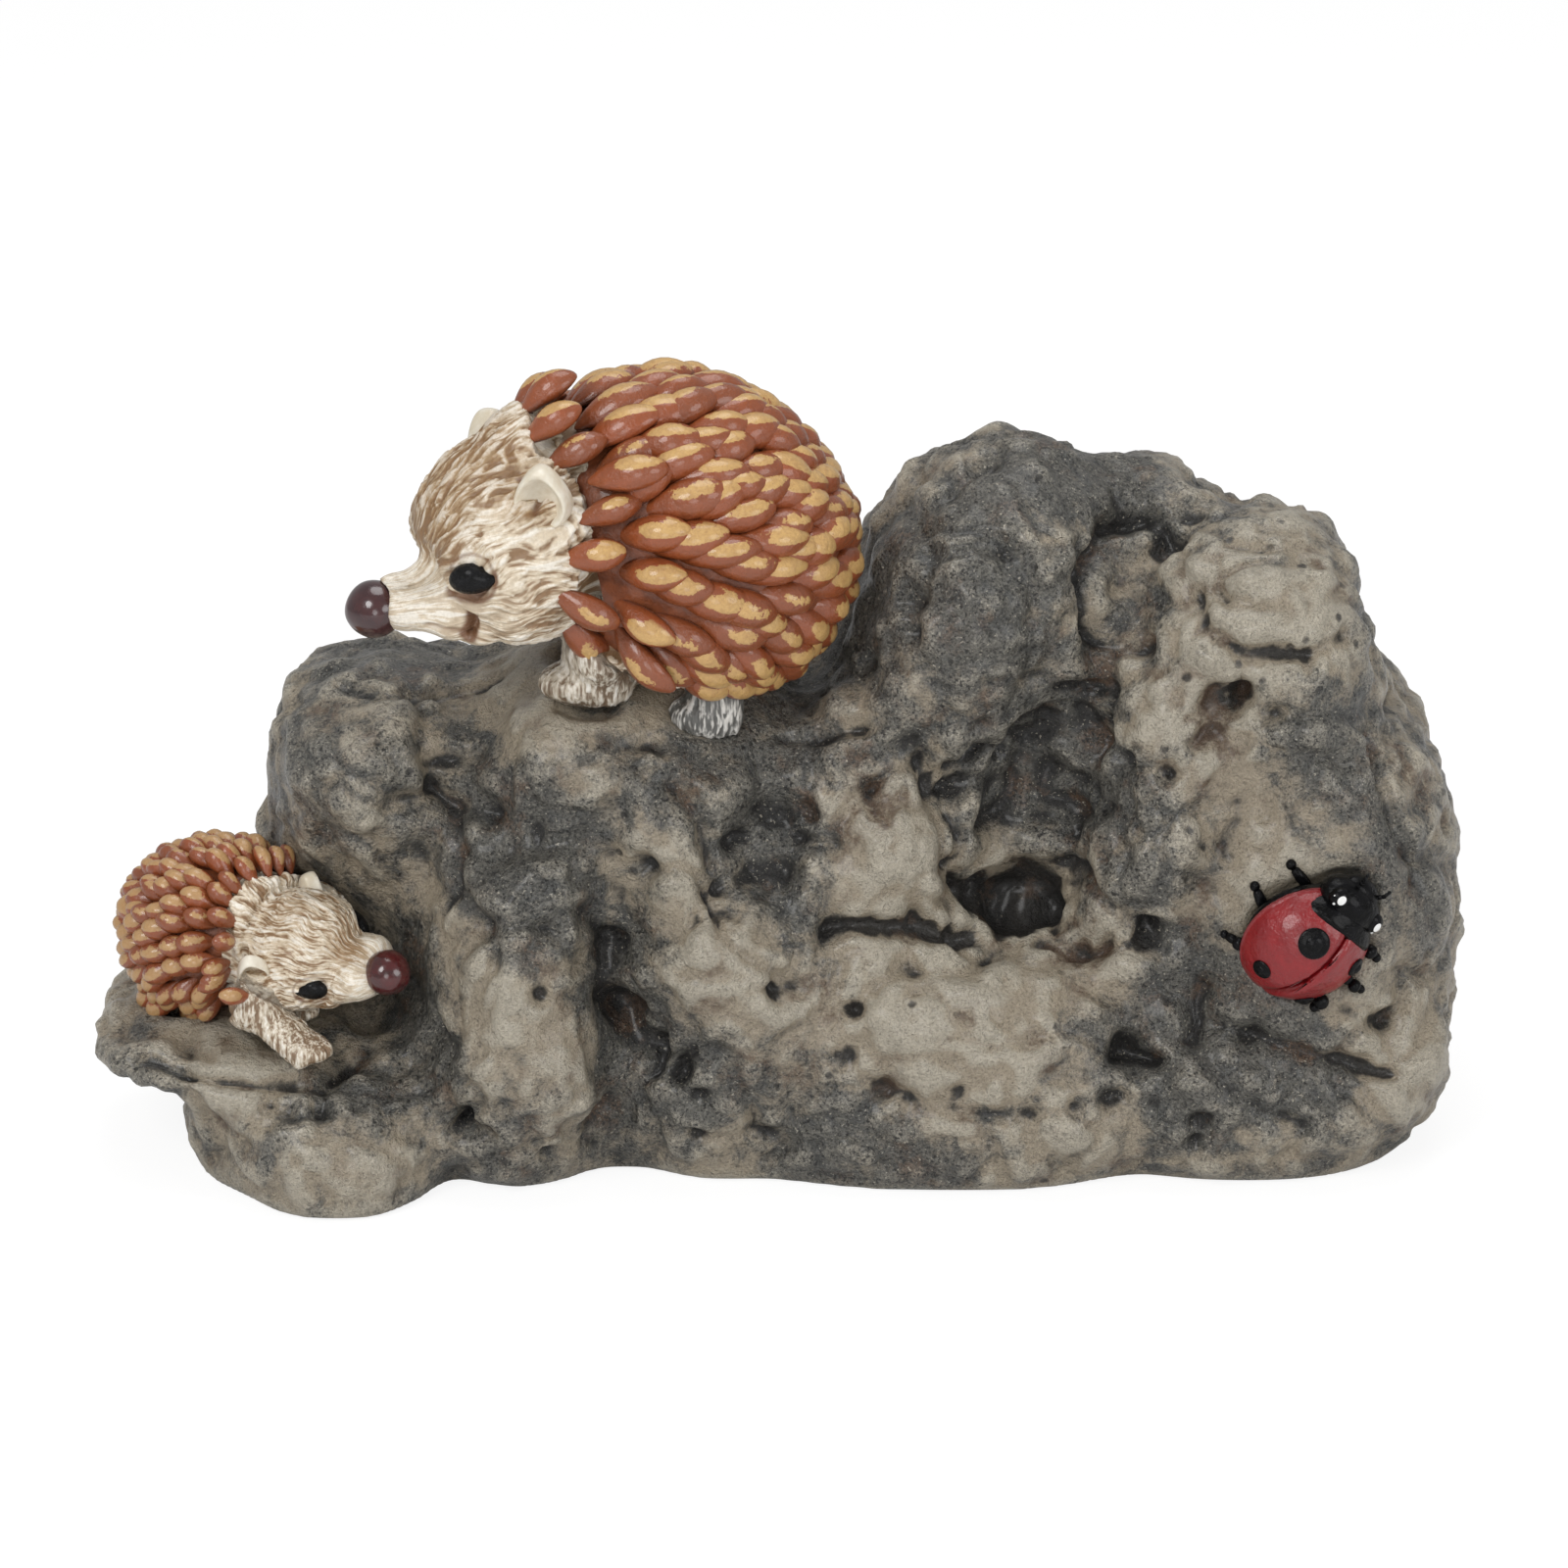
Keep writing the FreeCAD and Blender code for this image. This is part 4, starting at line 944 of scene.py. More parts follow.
def without(piece, unwanted):
    """The piece less the vertices that unwanted marks and the small islands left by them."""
    bm = bmesh.new()
    bm.from_mesh(piece.data)
    bm.verts.ensure_lookup_table()
    gone = [bm.verts[index] for index in np.flatnonzero(unwanted)]
    bmesh.ops.delete(bm, geom=gone, context="VERTS")
    for group in joined_groups(bm):
        if len(group) < SMALLEST_ISLAND:
            bmesh.ops.delete(bm, geom=group, context="VERTS")
    bm.to_mesh(piece.data)
    bm.free()


def both_sides(tree, heading, x_px, y_px):
    """A place that the photograph shows and its mirror place."""
    spot, _ = struck(tree, x_px, y_px)
    return (spot, heading.mirrored(spot)) if spot else ()


def at_both_sides(skin, tree, heading, table_px):
    """How strongly a table's places, and their mirror places, reach each vertex."""
    total = np.zeros(skin.count)
    for spot, radius, amount in seen_spots(tree, table_px):
        for place in (spot, heading.mirrored(spot)):
            total += amount * hump(skin.distance(place), radius)
    return total


def strand_places(skin, heading, nose_place, leg, size):
    """Places in a space squeezed along the fur, so that noise there makes strands."""
    offset = skin.places - np.array(nose_place)
    left = offset @ np.array(heading.left)
    up = offset @ np.array(heading.up)
    turn = np.arctan2(up, left) + 0.16 * noise_at(skin.places, 5.5 * size, 61)
    back = np.linalg.norm(offset, axis=1) * STRAND_STRETCH
    radius = STRAND_RADIUS * size
    round_head = np.stack([radius * np.cos(turn), radius * np.sin(turn), back], axis=1)
    upright = skin.places * np.array((1, 1, STRAND_STRETCH))
    return round_head * (1 - leg)[:, None] + upright * leg[:, None]


def feature_place(node, heading, shift):
    """Middle of a CAD node, pushed with the head and then shifted forward, outward and up."""
    forward, outward, up = shift
    side = 1 if node.endswith("left") else -1
    return heading.pushed_point(middle(node)) + heading.way(forward, side * outward, up)


def foot_pulls(ground, feet_px):
    """How far each leg moves to stand where the photograph shows it, and its changes in size."""
    pulls = {}
    for name, x_px, y_px, swell, shorten in feet_px:
        spot, _ = struck(ground, x_px, y_px)
        places = pulled_places(name, {})
        sole = places[places[:, 2] < places[:, 2].min() + 1.0].mean(axis=0)
        if spot:
            pulls[name] = (np.array(spot) - sole, swell, shorten)
    return pulls


def hedgehog_fur(name, figure, ground):
    """Head, chest, belly and legs as one carved skin; the quills' coat covers its rear edge."""
    size = figure["size"]
    fore = [f"{name}_foreleg_left", f"{name}_foreleg_right"]
    hind = [f"{name}_hind_leg_left", f"{name}_hind_leg_right"]
    trunk = [f"{name}_torso", f"{name}_head"]
    coat_node = f"{name}_quill_coat"
    heading = Heading(
        f"{name}_torso", f"{name}_nose", f"{name}_eye_left", f"{name}_eye_right", figure["push"]
    )
    pulls = foot_pulls(ground, figure["feet_px"])
    piece = cast_skin([*trunk, coat_node, *fore, *hind], f"{name}_fur", figure["voxel"], pulls)
    skin = Skin(piece)
    skin.places = heading.pushed(skin.smoothed(skin.places, figure["settle"]))
    height = at_both_sides(skin, skin.tree(), heading, figure["lumps_px"])
    height -= at_both_sides(skin, skin.tree(), heading, figure["dents_px"])
    skin.places = skin.places + skin.smoothed(skin.normals(), 2) * height[:, None]
    body = skin.tree()
    hairline = Hairline(body, heading, figure["hairline_px"])
    polar, turn = heading.angles(skin.places)
    covered = within_outline(skin.places, heading, figure["coat_px"])
    depth = skin.smoothed(covered * step_up(polar - hairline.at(turn), 2, 9), 12)
    without(piece, depth > 0.97)

    skin = Skin(piece)
    tree = skin.tree()
    fore_leg, hind_leg, _ = closest_kind(skin, heading, (fore, hind, [*trunk, coat_node]), pulls)
    leg = np.clip(fore_leg + hind_leg, 0, 1)
    tan = at_both_sides(skin, tree, heading, figure["tans_px"])
    bare = at_both_sides(skin, tree, heading, figure["bares_px"])

    polar, turn = heading.angles(skin.places)
    behind = polar - hairline.at(turn) + 2.5 * noise_at(skin.places, 2.4 * size, 8)
    covered = within_outline(skin.places, heading, figure["coat_px"]).astype(float)
    under = step_up(behind, -4, 2) * step_up(skin.smoothed(covered, 4), 0.3, 0.8)
    nose_place = heading.pushed_point(middle(f"{name}_nose"))
    back = skin.places - np.array(nose_place)
    back /= np.linalg.norm(back, axis=1)[:, None] + 1e-9
    down = np.array((0.0, 0.0, -1.0))
    flow = back * (1 - leg)[:, None] + down * leg[:, None]
    snout = 1 - step_up(skin.distance(nose_place), 5 * size, 15 * size)
    allowed = under < 0.5
    seed = figure["seed"]
    short = carved_strokes(skin, flow, allowed, SHORT_STROKES, size, seed)
    long = carved_strokes(skin, flow, allowed, LONG_STROKES, size, seed + 1)
    blend = step_up(polar, 6, 22) * (1 - 0.4 * leg) * (1 - 0.6 * bare)
    crest = np.maximum(short * (1 - 0.25 * blend), long * blend)
    relief = (0.46 + 0.62 * blend - 0.30 * snout - 0.20 * bare) * size
    near_hair = step_up(polar, 30, 44) * (1 - leg)
    lift = crest * (relief + HAIR_LIFT * size * near_hair)
    lift = lift * (1 - under) - COAT_DEPTH * size * under
    stain = np.zeros(skin.count)
    for width, depth, amount, places_px in figure["grooves_px"]:
        sides = zip(*(both_sides(tree, heading, x_px, y_px) for x_px, y_px in places_px))
        for spots in sides:
            gap = track_distance(skin, spots)
            lift -= depth * np.exp(-(gap / width) ** 2)
            stain += amount * np.exp(-(gap / (1.5 * width)) ** 2)
    for side in ("left", "right"):
        place = feature_place(f"{name}_eye_{side}", heading, figure["eye_shift"])
        gap = skin.distance(place) / figure["eye_width"]
        stain += 0.55 * np.exp(-((gap - 0.56) / 0.06) ** 2)
        lift += 0.4 * size * np.exp(-((gap - 0.80) / 0.16) ** 2)
    skin.places = skin.places + skin.normals() * lift[:, None]
    skin.keep("crest", np.clip(crest + 0.35 * snout, 0, 1))
    skin.keep("tan", np.clip(tan, 0, 1))
    skin.keep("bare", np.clip(bare + 0.7 * snout, 0, 1))
    skin.keep("grey", np.clip(hind_leg + figure["foreleg_grey"] * fore_leg, 0, 1))
    skin.keep("stain", np.clip(stain, 0, 1))
    skin.keep("strand", strand_places(skin, heading, nose_place, leg, size))
    skin.store()
    finished(piece, "fur", fur_finish(f"{name}_fur_paint", size), *trunk, *fore, *hind)
    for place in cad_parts[coat_node].material_slots:
        place.material = gloss_finish("quill_skin_gloss")
    return heading, hairline, body


def ball(around, along):
    bm = bmesh.new()
    bmesh.ops.create_uvsphere(bm, u_segments=around, v_segments=along, radius=1.0)
    return bm


def quill_blank():
    """A plump pointed scale: root at 0 and tip at 1 along X, one unit wide and one high."""
    bm = ball(QUILL_AROUND, QUILL_ALONG)
    bmesh.ops.rotate(bm, verts=bm.verts, matrix=Matrix.Rotation(math.pi / 2, 3, "Y"))
    layers = {key: bm.verts.layers.float.new(key) for key in ("along", "across", "top", "pick")}
    for vert in bm.verts:
        x, y, z = vert.co
        along = (x + 1) / 2
        ring = math.hypot(y, z) or 1
        y /= ring
        z /= ring
        wide = 0.5 * math.sin(math.pi * along ** 1.25) ** 0.55 if 0 < along < 1 else 0
        high = math.sin(math.pi * along ** 1.5) ** 0.65 if 0 < along < 1 else 0
        high *= (1.0 - 0.10 * abs(y)) if z > 0 else 0.45
        vert[layers["along"]] = along
        vert[layers["across"]] = y * wide * 2
        vert[layers["top"]] = z if 0 < along < 1 else 0.5
        vert.co = Vector((along, y * wide, z * high))
    mesh = bpy.data.meshes.new("quill_blank")
    bm.to_mesh(mesh)
    bm.free()
    return mesh


def joined_groups(bm):
    """Lists of vertices that edges join."""
    left = set(bm.verts)
    groups = []
    while left:
        edge = [left.pop()]
        group = []
        while edge:
            vert = edge.pop()
            group.append(vert)
            for link in vert.link_edges:
                other = link.other_vert(vert)
                if other in left:
                    left.remove(other)
                    edge.append(other)
        groups.append(group)
    return groups


def body_place(body, heading, polar, turn):
    """Place and outward normal on a figure at an angle from its nose and a turn from its top."""
    polar, turn = math.radians(polar), math.radians(turn)
    across = math.sin(polar)
    way = heading.way(math.cos(polar), across * math.sin(turn), across * math.cos(turn))
    hit, normal, _, _ = body.ray_cast((heading.origin + way * QUILL_RAY) * MM, -way)
    if hit is None or normal.dot(way) < 0:
        return None
    return hit / MM, (normal + way * QUILL_LEAN).normalized()


def quill_seats(body, heading, hairline, figure):
    """Root, way and outward normal of quills set in rings from the hairline to the rump."""
    seats = []
    rows = figure["quill_rows"]
    for row in range(rows):
        share = row / (rows - 1)
        samples = []
        for turn in range(0, 360, RING_STEP):
            start = float(hairline.at(turn)) + figure["quill_start"]
            polar = start + share * (figure["quill_end"] - start)
            found = body_place(body, heading, polar, turn)
            if found:
                samples.append((turn, polar, *found))
        lengths = [0.0]
        for here, there in zip(samples, samples[1:] + samples[:1]):
            lengths.append(lengths[-1] + (there[2] - here[2]).length)
        count = max(RING_FEWEST, round(lengths[-1] / figure["quill_spacing"]))
        for k in range(count):
            goal = lengths[-1] * (k + (row % 2) / 2) / count
            nearest = min(np.searchsorted(lengths, goal), len(samples) - 1)
            turn, polar, place, normal = samples[nearest]
            ahead = body_place(body, heading, polar + QUILL_LOOK_AHEAD, turn)
            if ahead is None:
                continue
            way = ahead[0] - place
            low = max(0.0, -normal.z) + QUILL_LOW_EDGE * max(0.0, QUILL_LOW_EDGE - normal.z)
            way = way.normalized() + Vector((0, 0, -1)) * (QUILL_FALL * low)
            way = (way - normal * way.dot(normal)).normalized()
            reach = (QUILL_REACH if row else QUILL_FRONT_REACH) * figure["quill_sizes"][0]
            scale = 1.0 if row else FRONT_QUILL_SHARE
            seats.append((place, way, normal, scale, place + way * reach))
    kept = within_outline(np.array([seat[4] for seat in seats]), heading, figure["coat_px"])
    return [seat[:4] for seat, keep in zip(seats, kept) if keep]


def inside_surface(tree, place, depth):
    hit, normal, _, distance = tree.find_nearest(place * MM)
    return distance < ROCK_REACH * MM and (place * MM - hit).dot(normal) < -depth * MM


def quills(name, figure, heading, hairline, body, ground, ears, blank, material):
    """Plump overlapping scales, uneven as if carved by hand, in one piece for each CAD row."""
    chooser = random.Random(figure["seed"])
    rows = sorted(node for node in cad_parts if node.startswith(f"{name}_quill_row"))
    spots = [read_array(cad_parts[node].data.vertices, "co", 3)[::5] / MM for node in rows]
    labels = [row for row, found in zip(rows, spots) for _ in found]
    tree = point_tree(np.concatenate(spots))
    pieces = {row: bmesh.new() for row in rows}
    for place, way, out, share in quill_seats(body, heading, hairline, figure):
        length, width, thickness = (
            share * size * chooser.uniform(1 - QUILL_JITTER_SHARE, 1 + QUILL_JITTER_SHARE)
            for size in figure["quill_sizes"]
        )
        turn = math.radians(chooser.gauss(0, QUILL_JITTER_TURN))
        chance = chooser.random()
        for ear_place in ears:
            near = figure["ear_width"] * EAR_CLEARANCE - (place - ear_place).length
            place = place + way * max(0.0, near)
        middle_place = place + way * length * QUILL_MIDDLE + out * thickness * QUILL_LIFT
        if inside_surface(ground, middle_place, ROCK_COVER):
            continue
        way = Matrix.Rotation(turn, 3, out) @ way
        side = out.cross(way)
        upward = 1 if side.z > 0 else -1
        bm = pieces[labels[tree.find(middle_place)[1]]]
        before = len(bm.verts)
        bm.from_mesh(blank)
        bm.verts.ensure_lookup_table()
        pick = bm.verts.layers.float["pick"]
        across = bm.verts.layers.float["across"]
        root = place - out * QUILL_SINK * thickness
        for vert in bm.verts[before:]:
            along, sideways, high = vert.co
            rise = figure["quill_rise"] * along * thickness
            rise -= QUILL_DROOP * (along * length) ** 2 / figure["girth"]
            rough_spot = Vector((along * 3, sideways * 3, 9 * chance))
            wave = QUILL_ROUGHNESS * thickness * noise.noise(rough_spot)
            spot = root + way * (along * length) + side * (sideways * width)
            vert.co = (spot + out * (high * thickness + rise + wave)) * MM
            vert[pick] = chance
            vert[across] *= upward
    empty = [row for row in rows if not pieces[row].verts]
    for row in rows:
        if row in empty:
            pieces[row].free()
            continue
        piece = softened(new_piece(pieces[row], row.replace("quill_row", "quills")))
        finished(piece, "quills", material, row, *empty)
        empty = []


def shaped_ball(name, shape, matrix):
    """A sphere with its poles on X, moved by a shape function and put in place."""
    bm = ball(BEAD_AROUND, BEAD_ALONG)
    bmesh.ops.rotate(bm, verts=bm.verts, matrix=Matrix.Rotation(math.pi / 2, 3, "Y"))
    for vert in bm.verts:
        vert.co = Vector(shape(*vert.co))
    bmesh.ops.recalc_face_normals(bm, faces=bm.faces)
    bmesh.ops.transform(bm, matrix=matrix, verts=bm.verts)
    return new_piece(bm, name)


def outward_matrix(place, out, along):
    """X points out of the surface and Y along it."""
    x = out.normalized()
    y = (along - x * along.dot(x)).normalized()
    turn = Matrix((x, y, x.cross(y))).transposed().to_4x4()
    return Matrix.Translation(place * MM) @ turn @ Matrix.Scale(MM, 4)


def eye(name, figure, heading, side, material):
    """A domed almond with its pointed corner towards the ear."""
    node = f"{name}_eye_{side}"
    place = feature_place(node, heading, figure["eye_shift"])
    out = place - heading.pushed_point(middle(f"{name}_head"))
    width = figure["eye_width"]

    def almond(x, y, z):
        pinch = 1 - 0.80 * max(0, y) ** 1.4
        return (
            x * 0.30 * width,
            (y * 0.58 + 0.08 * max(0, y)) * width,
            (z * 0.38 * pinch + 0.12 * max(0, y)) * width,
        )

    back = -heading.forward + heading.up * 0.12
    turn = outward_matrix(place, out, back)
    if side == "left":
        turn = turn @ Matrix.Diagonal((1, 1, -1, 1))
    piece = shaped_ball(node + "_bead", almond, turn)
    if side == "left":
        piece.data.flip_normals()
    finished(softened(piece), "eye_black", material, node)


def nose(name, figure, heading, material):
    """A blunt bead, flat where it meets the snout and narrower below."""
    node = f"{name}_nose"
    width = figure["nose_width"]

    def bead(x, y, z):
        front = 1 - 0.16 * max(0, x) ** 2
        low = 1 - 0.20 * max(0, -z)
        lengthwise = x * (0.50 if x > 0 else 0.54)
        upward = z * 0.52 * front + 0.02
        return lengthwise * width, y * 0.53 * front * low * width, upward * width

    place = feature_place(node, heading, figure["nose_shift"])
    piece = shaped_ball(node + "_bead", bead, heading.matrix(place))
    finished(softened(piece), "nose", material, node)


def ear(name, figure, heading, side, place, material):
    """A cup with a rolled rim and a drawn-out tip, open forwards."""
    node = f"{name}_ear_{side}"
    sign = 1 if side == "left" else -1
    width = figure["ear_width"]

    def cup(x, y, z):
        across = math.hypot(y, z)
        rim = 0.17 * math.exp(-((across - 0.82) / 0.17) ** 2)
        if x > 0:
            x = 0.30 * across * across * math.sqrt(max(0, 1 - across ** 8)) + rim - 0.02
        else:
            x = -0.22 * math.sqrt(max(0, 1 - across * across))
        tip = 1 + 0.22 * max(0, z) ** 2
        narrow = 1 - 0.20 * max(0, z)
        return ((x + 0.10 * z) * width, y * 0.46 * narrow * width, z * 0.5 * tip * width)

    forward = math.cos(math.radians(EAR_TURN))
    outward = sign * math.sin(math.radians(EAR_TURN))
    facing = heading.way(forward, outward, 0.05)
    place = place + (place - heading.origin).normalized() * EAR_STAND * width
    piece = shaped_ball(node + "_cup", cup, outward_matrix(place, facing, heading.left))
    finished(softened(piece), "fur", material, node)


# One figure's sizes and the places of its features. Rows of the tables in pixels hold a place,
# then for feet swell and shorten; for dents, lumps, tans and bares a radius and an amount; and
# for grooves a width, a depth and a stain before the places that each runs through.
MOTHER = {
    "voxel": 0.28, "size": 1.0, "settle": 45, "seed": 11, "girth": 46.0, "foreleg_grey": 0.45,
    "push": (0.0, 0.0), "eye_shift": (0.0, 0.0, 0.0), "nose_shift": (0.0, 0.0, -0.5),
    "feet_px": (
        ("mother_foreleg_left", 596, 712, 1.30, 1.0),
        ("mother_foreleg_right", 640, 690, 1.2, 1.0),
    ),
    "hairline_px": (
        (543, 422), (550, 463), (570, 474), (586, 494), (594, 519), (604, 545),
        (594, 572), (586, 602), (584, 628), (604, 658),
    ),
    "coat_px": (
        (470, 330), (540, 423), (546, 463), (572, 476), (588, 497), (592, 519), (603, 545),
        (593, 572), (584, 602), (584, 628), (600, 655), (622, 670), (665, 681), (732, 704),
        (801, 683), (850, 655), (1000, 600), (1000, 250), (470, 250),
    ),
    "quill_rows": 12, "quill_start": -3.5, "quill_end": 162.0, "quill_spacing": 4.7,
    "quill_sizes": (12.0, 6.2, 3.2), "quill_rise": 0.48, "ochre": OCHRE, "dab": 0.80,
    "nose_width": 8.0, "eye_width": 6.2, "ear_width": 9.0, "ear_px": (563, 511),
    "dents_px": (
        (480, 588, 4.2, 0.7), (428, 590, 6.0, 0.8), (548, 508, 3.4, 1.2), (455, 600, 3.0, 0.4),
        (410, 597, 4.6, 1.3), (425, 580, 5.0, 1.8),
    ),
    "lumps_px": (
        (490, 639, 3.4, 2.2), (466, 566, 4.6, 0.7), (515, 620, 8.0, 0.9), (455, 633, 5.0, 1.6),
        (415, 628, 4.5, 1.2), (470, 638, 4.0, 0.8), (530, 640, 6.0, 1.0), (527, 444, 8.0, 1.0),
        (566, 442, 9.0, 1.4), (547, 449, 8.0, 0.7), (612, 670, 6.0, 2.4), (575, 655, 7.0, 2.6),
        (500, 520, 5.0, 0.5), (575, 600, 6.0, 0.5), (596, 478, 3.0, 1.2),
    ),
    "tans_px": (
        (440, 545, 9.0, 0.75), (470, 500, 10.0, 0.80), (515, 465, 10.0, 0.85),
        (535, 515, 5.0, 1.2), (420, 570, 5.0, 0.7), (452, 520, 6.0, 0.4), (548, 510, 3.4, 1.4),
        (470, 572, 3.0, 0.5), (560, 620, 7.0, 0.35), (585, 575, 5.0, 0.35),
    ),
    "bares_px": ((440, 628, 9.0, 0.9), (500, 625, 7.0, 0.7), (470, 610, 5.0, 0.6)),
    "grooves_px": (
        (0.70, 1.8, 1.5, ((483, 628), (482, 638), (478, 650))),
        (0.45, 0.5, 0.5, ((479, 648), (460, 643), (436, 638))),
        (0.60, 0.7, 0.8, ((459, 604), (470, 609), (482, 611), (494, 604), (503, 590))),
        (0.50, 0.6, 0.7, ((530, 492), (545, 498), (552, 512), (545, 526))),
    ),
}
YOUNG = {
    "voxel": 0.19, "size": 0.62, "settle": 30, "seed": 31, "girth": 24.0, "foreleg_grey": 0.25,
    "push": (1.4, 0.8), "eye_shift": (-0.9, 0.55, 0.1), "nose_shift": (0.0, 0.0, 1.0),
    "feet_px": (
        ("young_foreleg_right", 300, 1087, 1.5, 0.80),
        ("young_foreleg_left", 290, 1046, 1.2, 0.5),
    ),
    "hairline_px": (
        (318, 897), (298, 890), (275, 893), (249, 904), (233, 922), (239, 943),
        (237, 963), (241, 979), (244, 999), (247, 1019), (232, 1040),
    ),
    "coat_px": (
        (360, 905), (318, 897), (298, 890), (275, 893), (249, 904), (233, 922), (239, 943),
        (237, 963), (241, 979), (244, 999), (247, 1019), (232, 1042), (188, 1048), (150, 1040),
        (60, 1010), (60, 780), (360, 780),
    ),
    "quill_rows": 10, "quill_start": -4.0, "quill_end": 164.0, "quill_spacing": 2.6,
    "quill_sizes": (6.0, 3.6, 2.0), "quill_rise": 1.15, "ochre": DULL_OCHRE, "dab": 1.0,
    "nose_width": 6.5, "eye_width": 4.3, "ear_width": 5.4, "ear_px": (257, 986),
    "dents_px": ((322, 1012, 2.6, 0.45), (270, 988, 1.8, 0.6)),
    "lumps_px": (
        (290, 1028, 6.0, 2.2), (345, 1000, 3.0, 0.3), (250, 1018, 5.5, 2.2), (270, 1022, 5.5, 2.2),
        (310, 975, 5.0, 0.4), (362, 1006, 3.8, 1.9), (340, 1013, 3.8, 1.7), (375, 968, 3.4, 0.5),
        (300, 905, 5.0, 0.8),
    ),
    "tans_px": (
        (300, 960, 6.0, 0.35), (272, 985, 2.4, 1.2), (350, 965, 4.0, 0.6), (365, 975, 3.0, 0.5),
        (290, 930, 6.0, 0.3),
    ),
    "bares_px": ((362, 995, 5.0, 0.6), (335, 1035, 4.0, 0.6)),
    "grooves_px": (
        (0.35, 0.5, 0.7, ((350, 1036), (366, 1028), (378, 1018))),
        (0.30, 0.3, 0.3, ((304, 1016), (314, 1025), (328, 1025), (342, 1014))),
    ),
}


def hedgehogs(ground):
    blank = quill_blank()
    ivory = gloss_finish("ear_ivory")
    eye_paint = gloss_finish("eye_gloss")
    beads = {name: gloss_finish(f"{name}_nose_gloss") for name in ("mother", "young")}
    for name, figure in (("mother", MOTHER), ("young", YOUNG)):
        heading, hairline, body = hedgehog_fur(name, figure, ground)
        near = both_sides(body, heading, *figure["ear_px"]) or [
            heading.pushed_point(middle(f"{name}_ear_{side}")) for side in ("left", "right")
        ]
        ears = sorted(near, key=lambda place: -(place - heading.origin).dot(heading.left))
        for side, place in zip(("left", "right"), ears):
            ear(name, figure, heading, side, place, ivory)
            eye(name, figure, heading, side, eye_paint)
        nose(name, figure, heading, beads[name])
        paint = quill_finish(f"{name}_quill_gloss", figure["size"], figure["dab"], figure["ochre"])
        quills(name, figure, heading, hairline, body, ground, ears, blank, paint)


# Ladybird

CASE_LENGTH = 19.4
CASE_WIDTH = 18.0
CASE_HEIGHT = 8.6
CASE_BASE = 0.9
CASE_SEAM = 0.22
CASE_ROLL = 0.30
CASE_PARTING = 0.9
CASE_SPREAD = 0.35
CASE_BRUSH = 0.12
CASE_BEVEL = 0.35


def wing_case(heading, centre, side, material):
    """Half of the red dome, cut at the seam with a rolled edge."""
    sign = 1 if side == "left" else -1
    bm = ball(48, 28)
    bmesh.ops.scale(bm, vec=(CASE_LENGTH / 2, CASE_WIDTH / 2, CASE_HEIGHT), verts=bm.verts)
    for plane, way in (((0, sign * CASE_SEAM, 0), (0, -sign, 0)), ((0, 0, CASE_BASE), (0, 0, -1))):
        cut = bmesh.ops.bisect_plane(
            bm, geom=bm.verts[:] + bm.edges[:] + bm.faces[:], plane_co=plane, plane_no=way,
            clear_outer=True,
        )
        rim = [item for item in cut["geom_cut"] if isinstance(item, bmesh.types.BMEdge)]
        bmesh.ops.contextual_create(bm, geom=rim)
    for vert in bm.verts:
        x, y, z = vert.co
        near_seam = math.exp(-((abs(y) - 1.1) / 0.55) ** 2)
        parting = math.exp(-(abs(y) / 0.75) ** 2) * max(0, -x / CASE_LENGTH * 2)
        brushed = CASE_BRUSH * noise.noise(vert.co / 1.6)
        vert.co.z += CASE_ROLL * near_seam - CASE_PARTING * parting + brushed
        vert.co.y += sign * CASE_SPREAD * parting
    sharp = [edge for edge in bm.edges if edge.calc_face_angle(0) > math.radians(50)]
    bmesh.ops.bevel(
        bm, geom=sharp, offset=CASE_BEVEL, segments=2, affect="EDGES", profile=0.5, material=-1
    )
    bmesh.ops.recalc_face_normals(bm, faces=bm.faces)
    bmesh.ops.transform(bm, matrix=heading.matrix(centre), verts=bm.verts)
    piece = new_piece(bm, f"ladybird_wing_{side}")
    finished(piece, "wing_case_red", material, f"ladybird_wing_case_{side}")


def dome_point(x, y):
    """Height of the red dome over a place on its base."""
    rest = 1 - (2 * x / CASE_LENGTH) ** 2 - (2 * y / CASE_WIDTH) ** 2
    return CASE_HEIGHT * math.sqrt(max(0, rest))


def add_blob(bm, matrix, around=16, along=10):
    bmesh.ops.create_uvsphere(bm, u_segments=around, v_segments=along, radius=1, matrix=matrix)


def blob_matrix(place, sizes, out=Vector((0, 0, 1)), along=Vector((1, 0, 0))):
    """A ball of those radii at a place; its Z points out and its X along."""
    z = out.normalized()
    x = (along - z * along.dot(z)).normalized()
    turn = Matrix((x, z.cross(x), z)).transposed().to_4x4()
    return Matrix.Translation(place) @ turn @ Matrix.Diagonal((*sizes, 1))


def limb(bm, start, end, start_radius, end_radius):
    """A tapered stick with round ends."""
    line = end - start
    turn = line.to_track_quat("Z", "Y").to_matrix().to_4x4()
    bmesh.ops.create_cone(
        bm, cap_ends=True, segments=12, radius1=start_radius, radius2=end_radius,
        depth=line.length, matrix=Matrix.Translation((start + end) / 2) @ turn,
    )
    for place, radius in ((start, start_radius), (end, end_radius)):
        add_blob(bm, blob_matrix(place, (radius,) * 3), 12, 8)


LADYBIRD_ROLL = 22.0
LADYBIRD_SHIFT = (-0.4, 0.0, 0.4)
LADYBIRD_SPOTS = (
    (3.0, 3.6, 2.3), (3.4, -5.4, 1.5), (-5.6, 4.4, 1.5), (-5.4, -4.6, 1.5),
)
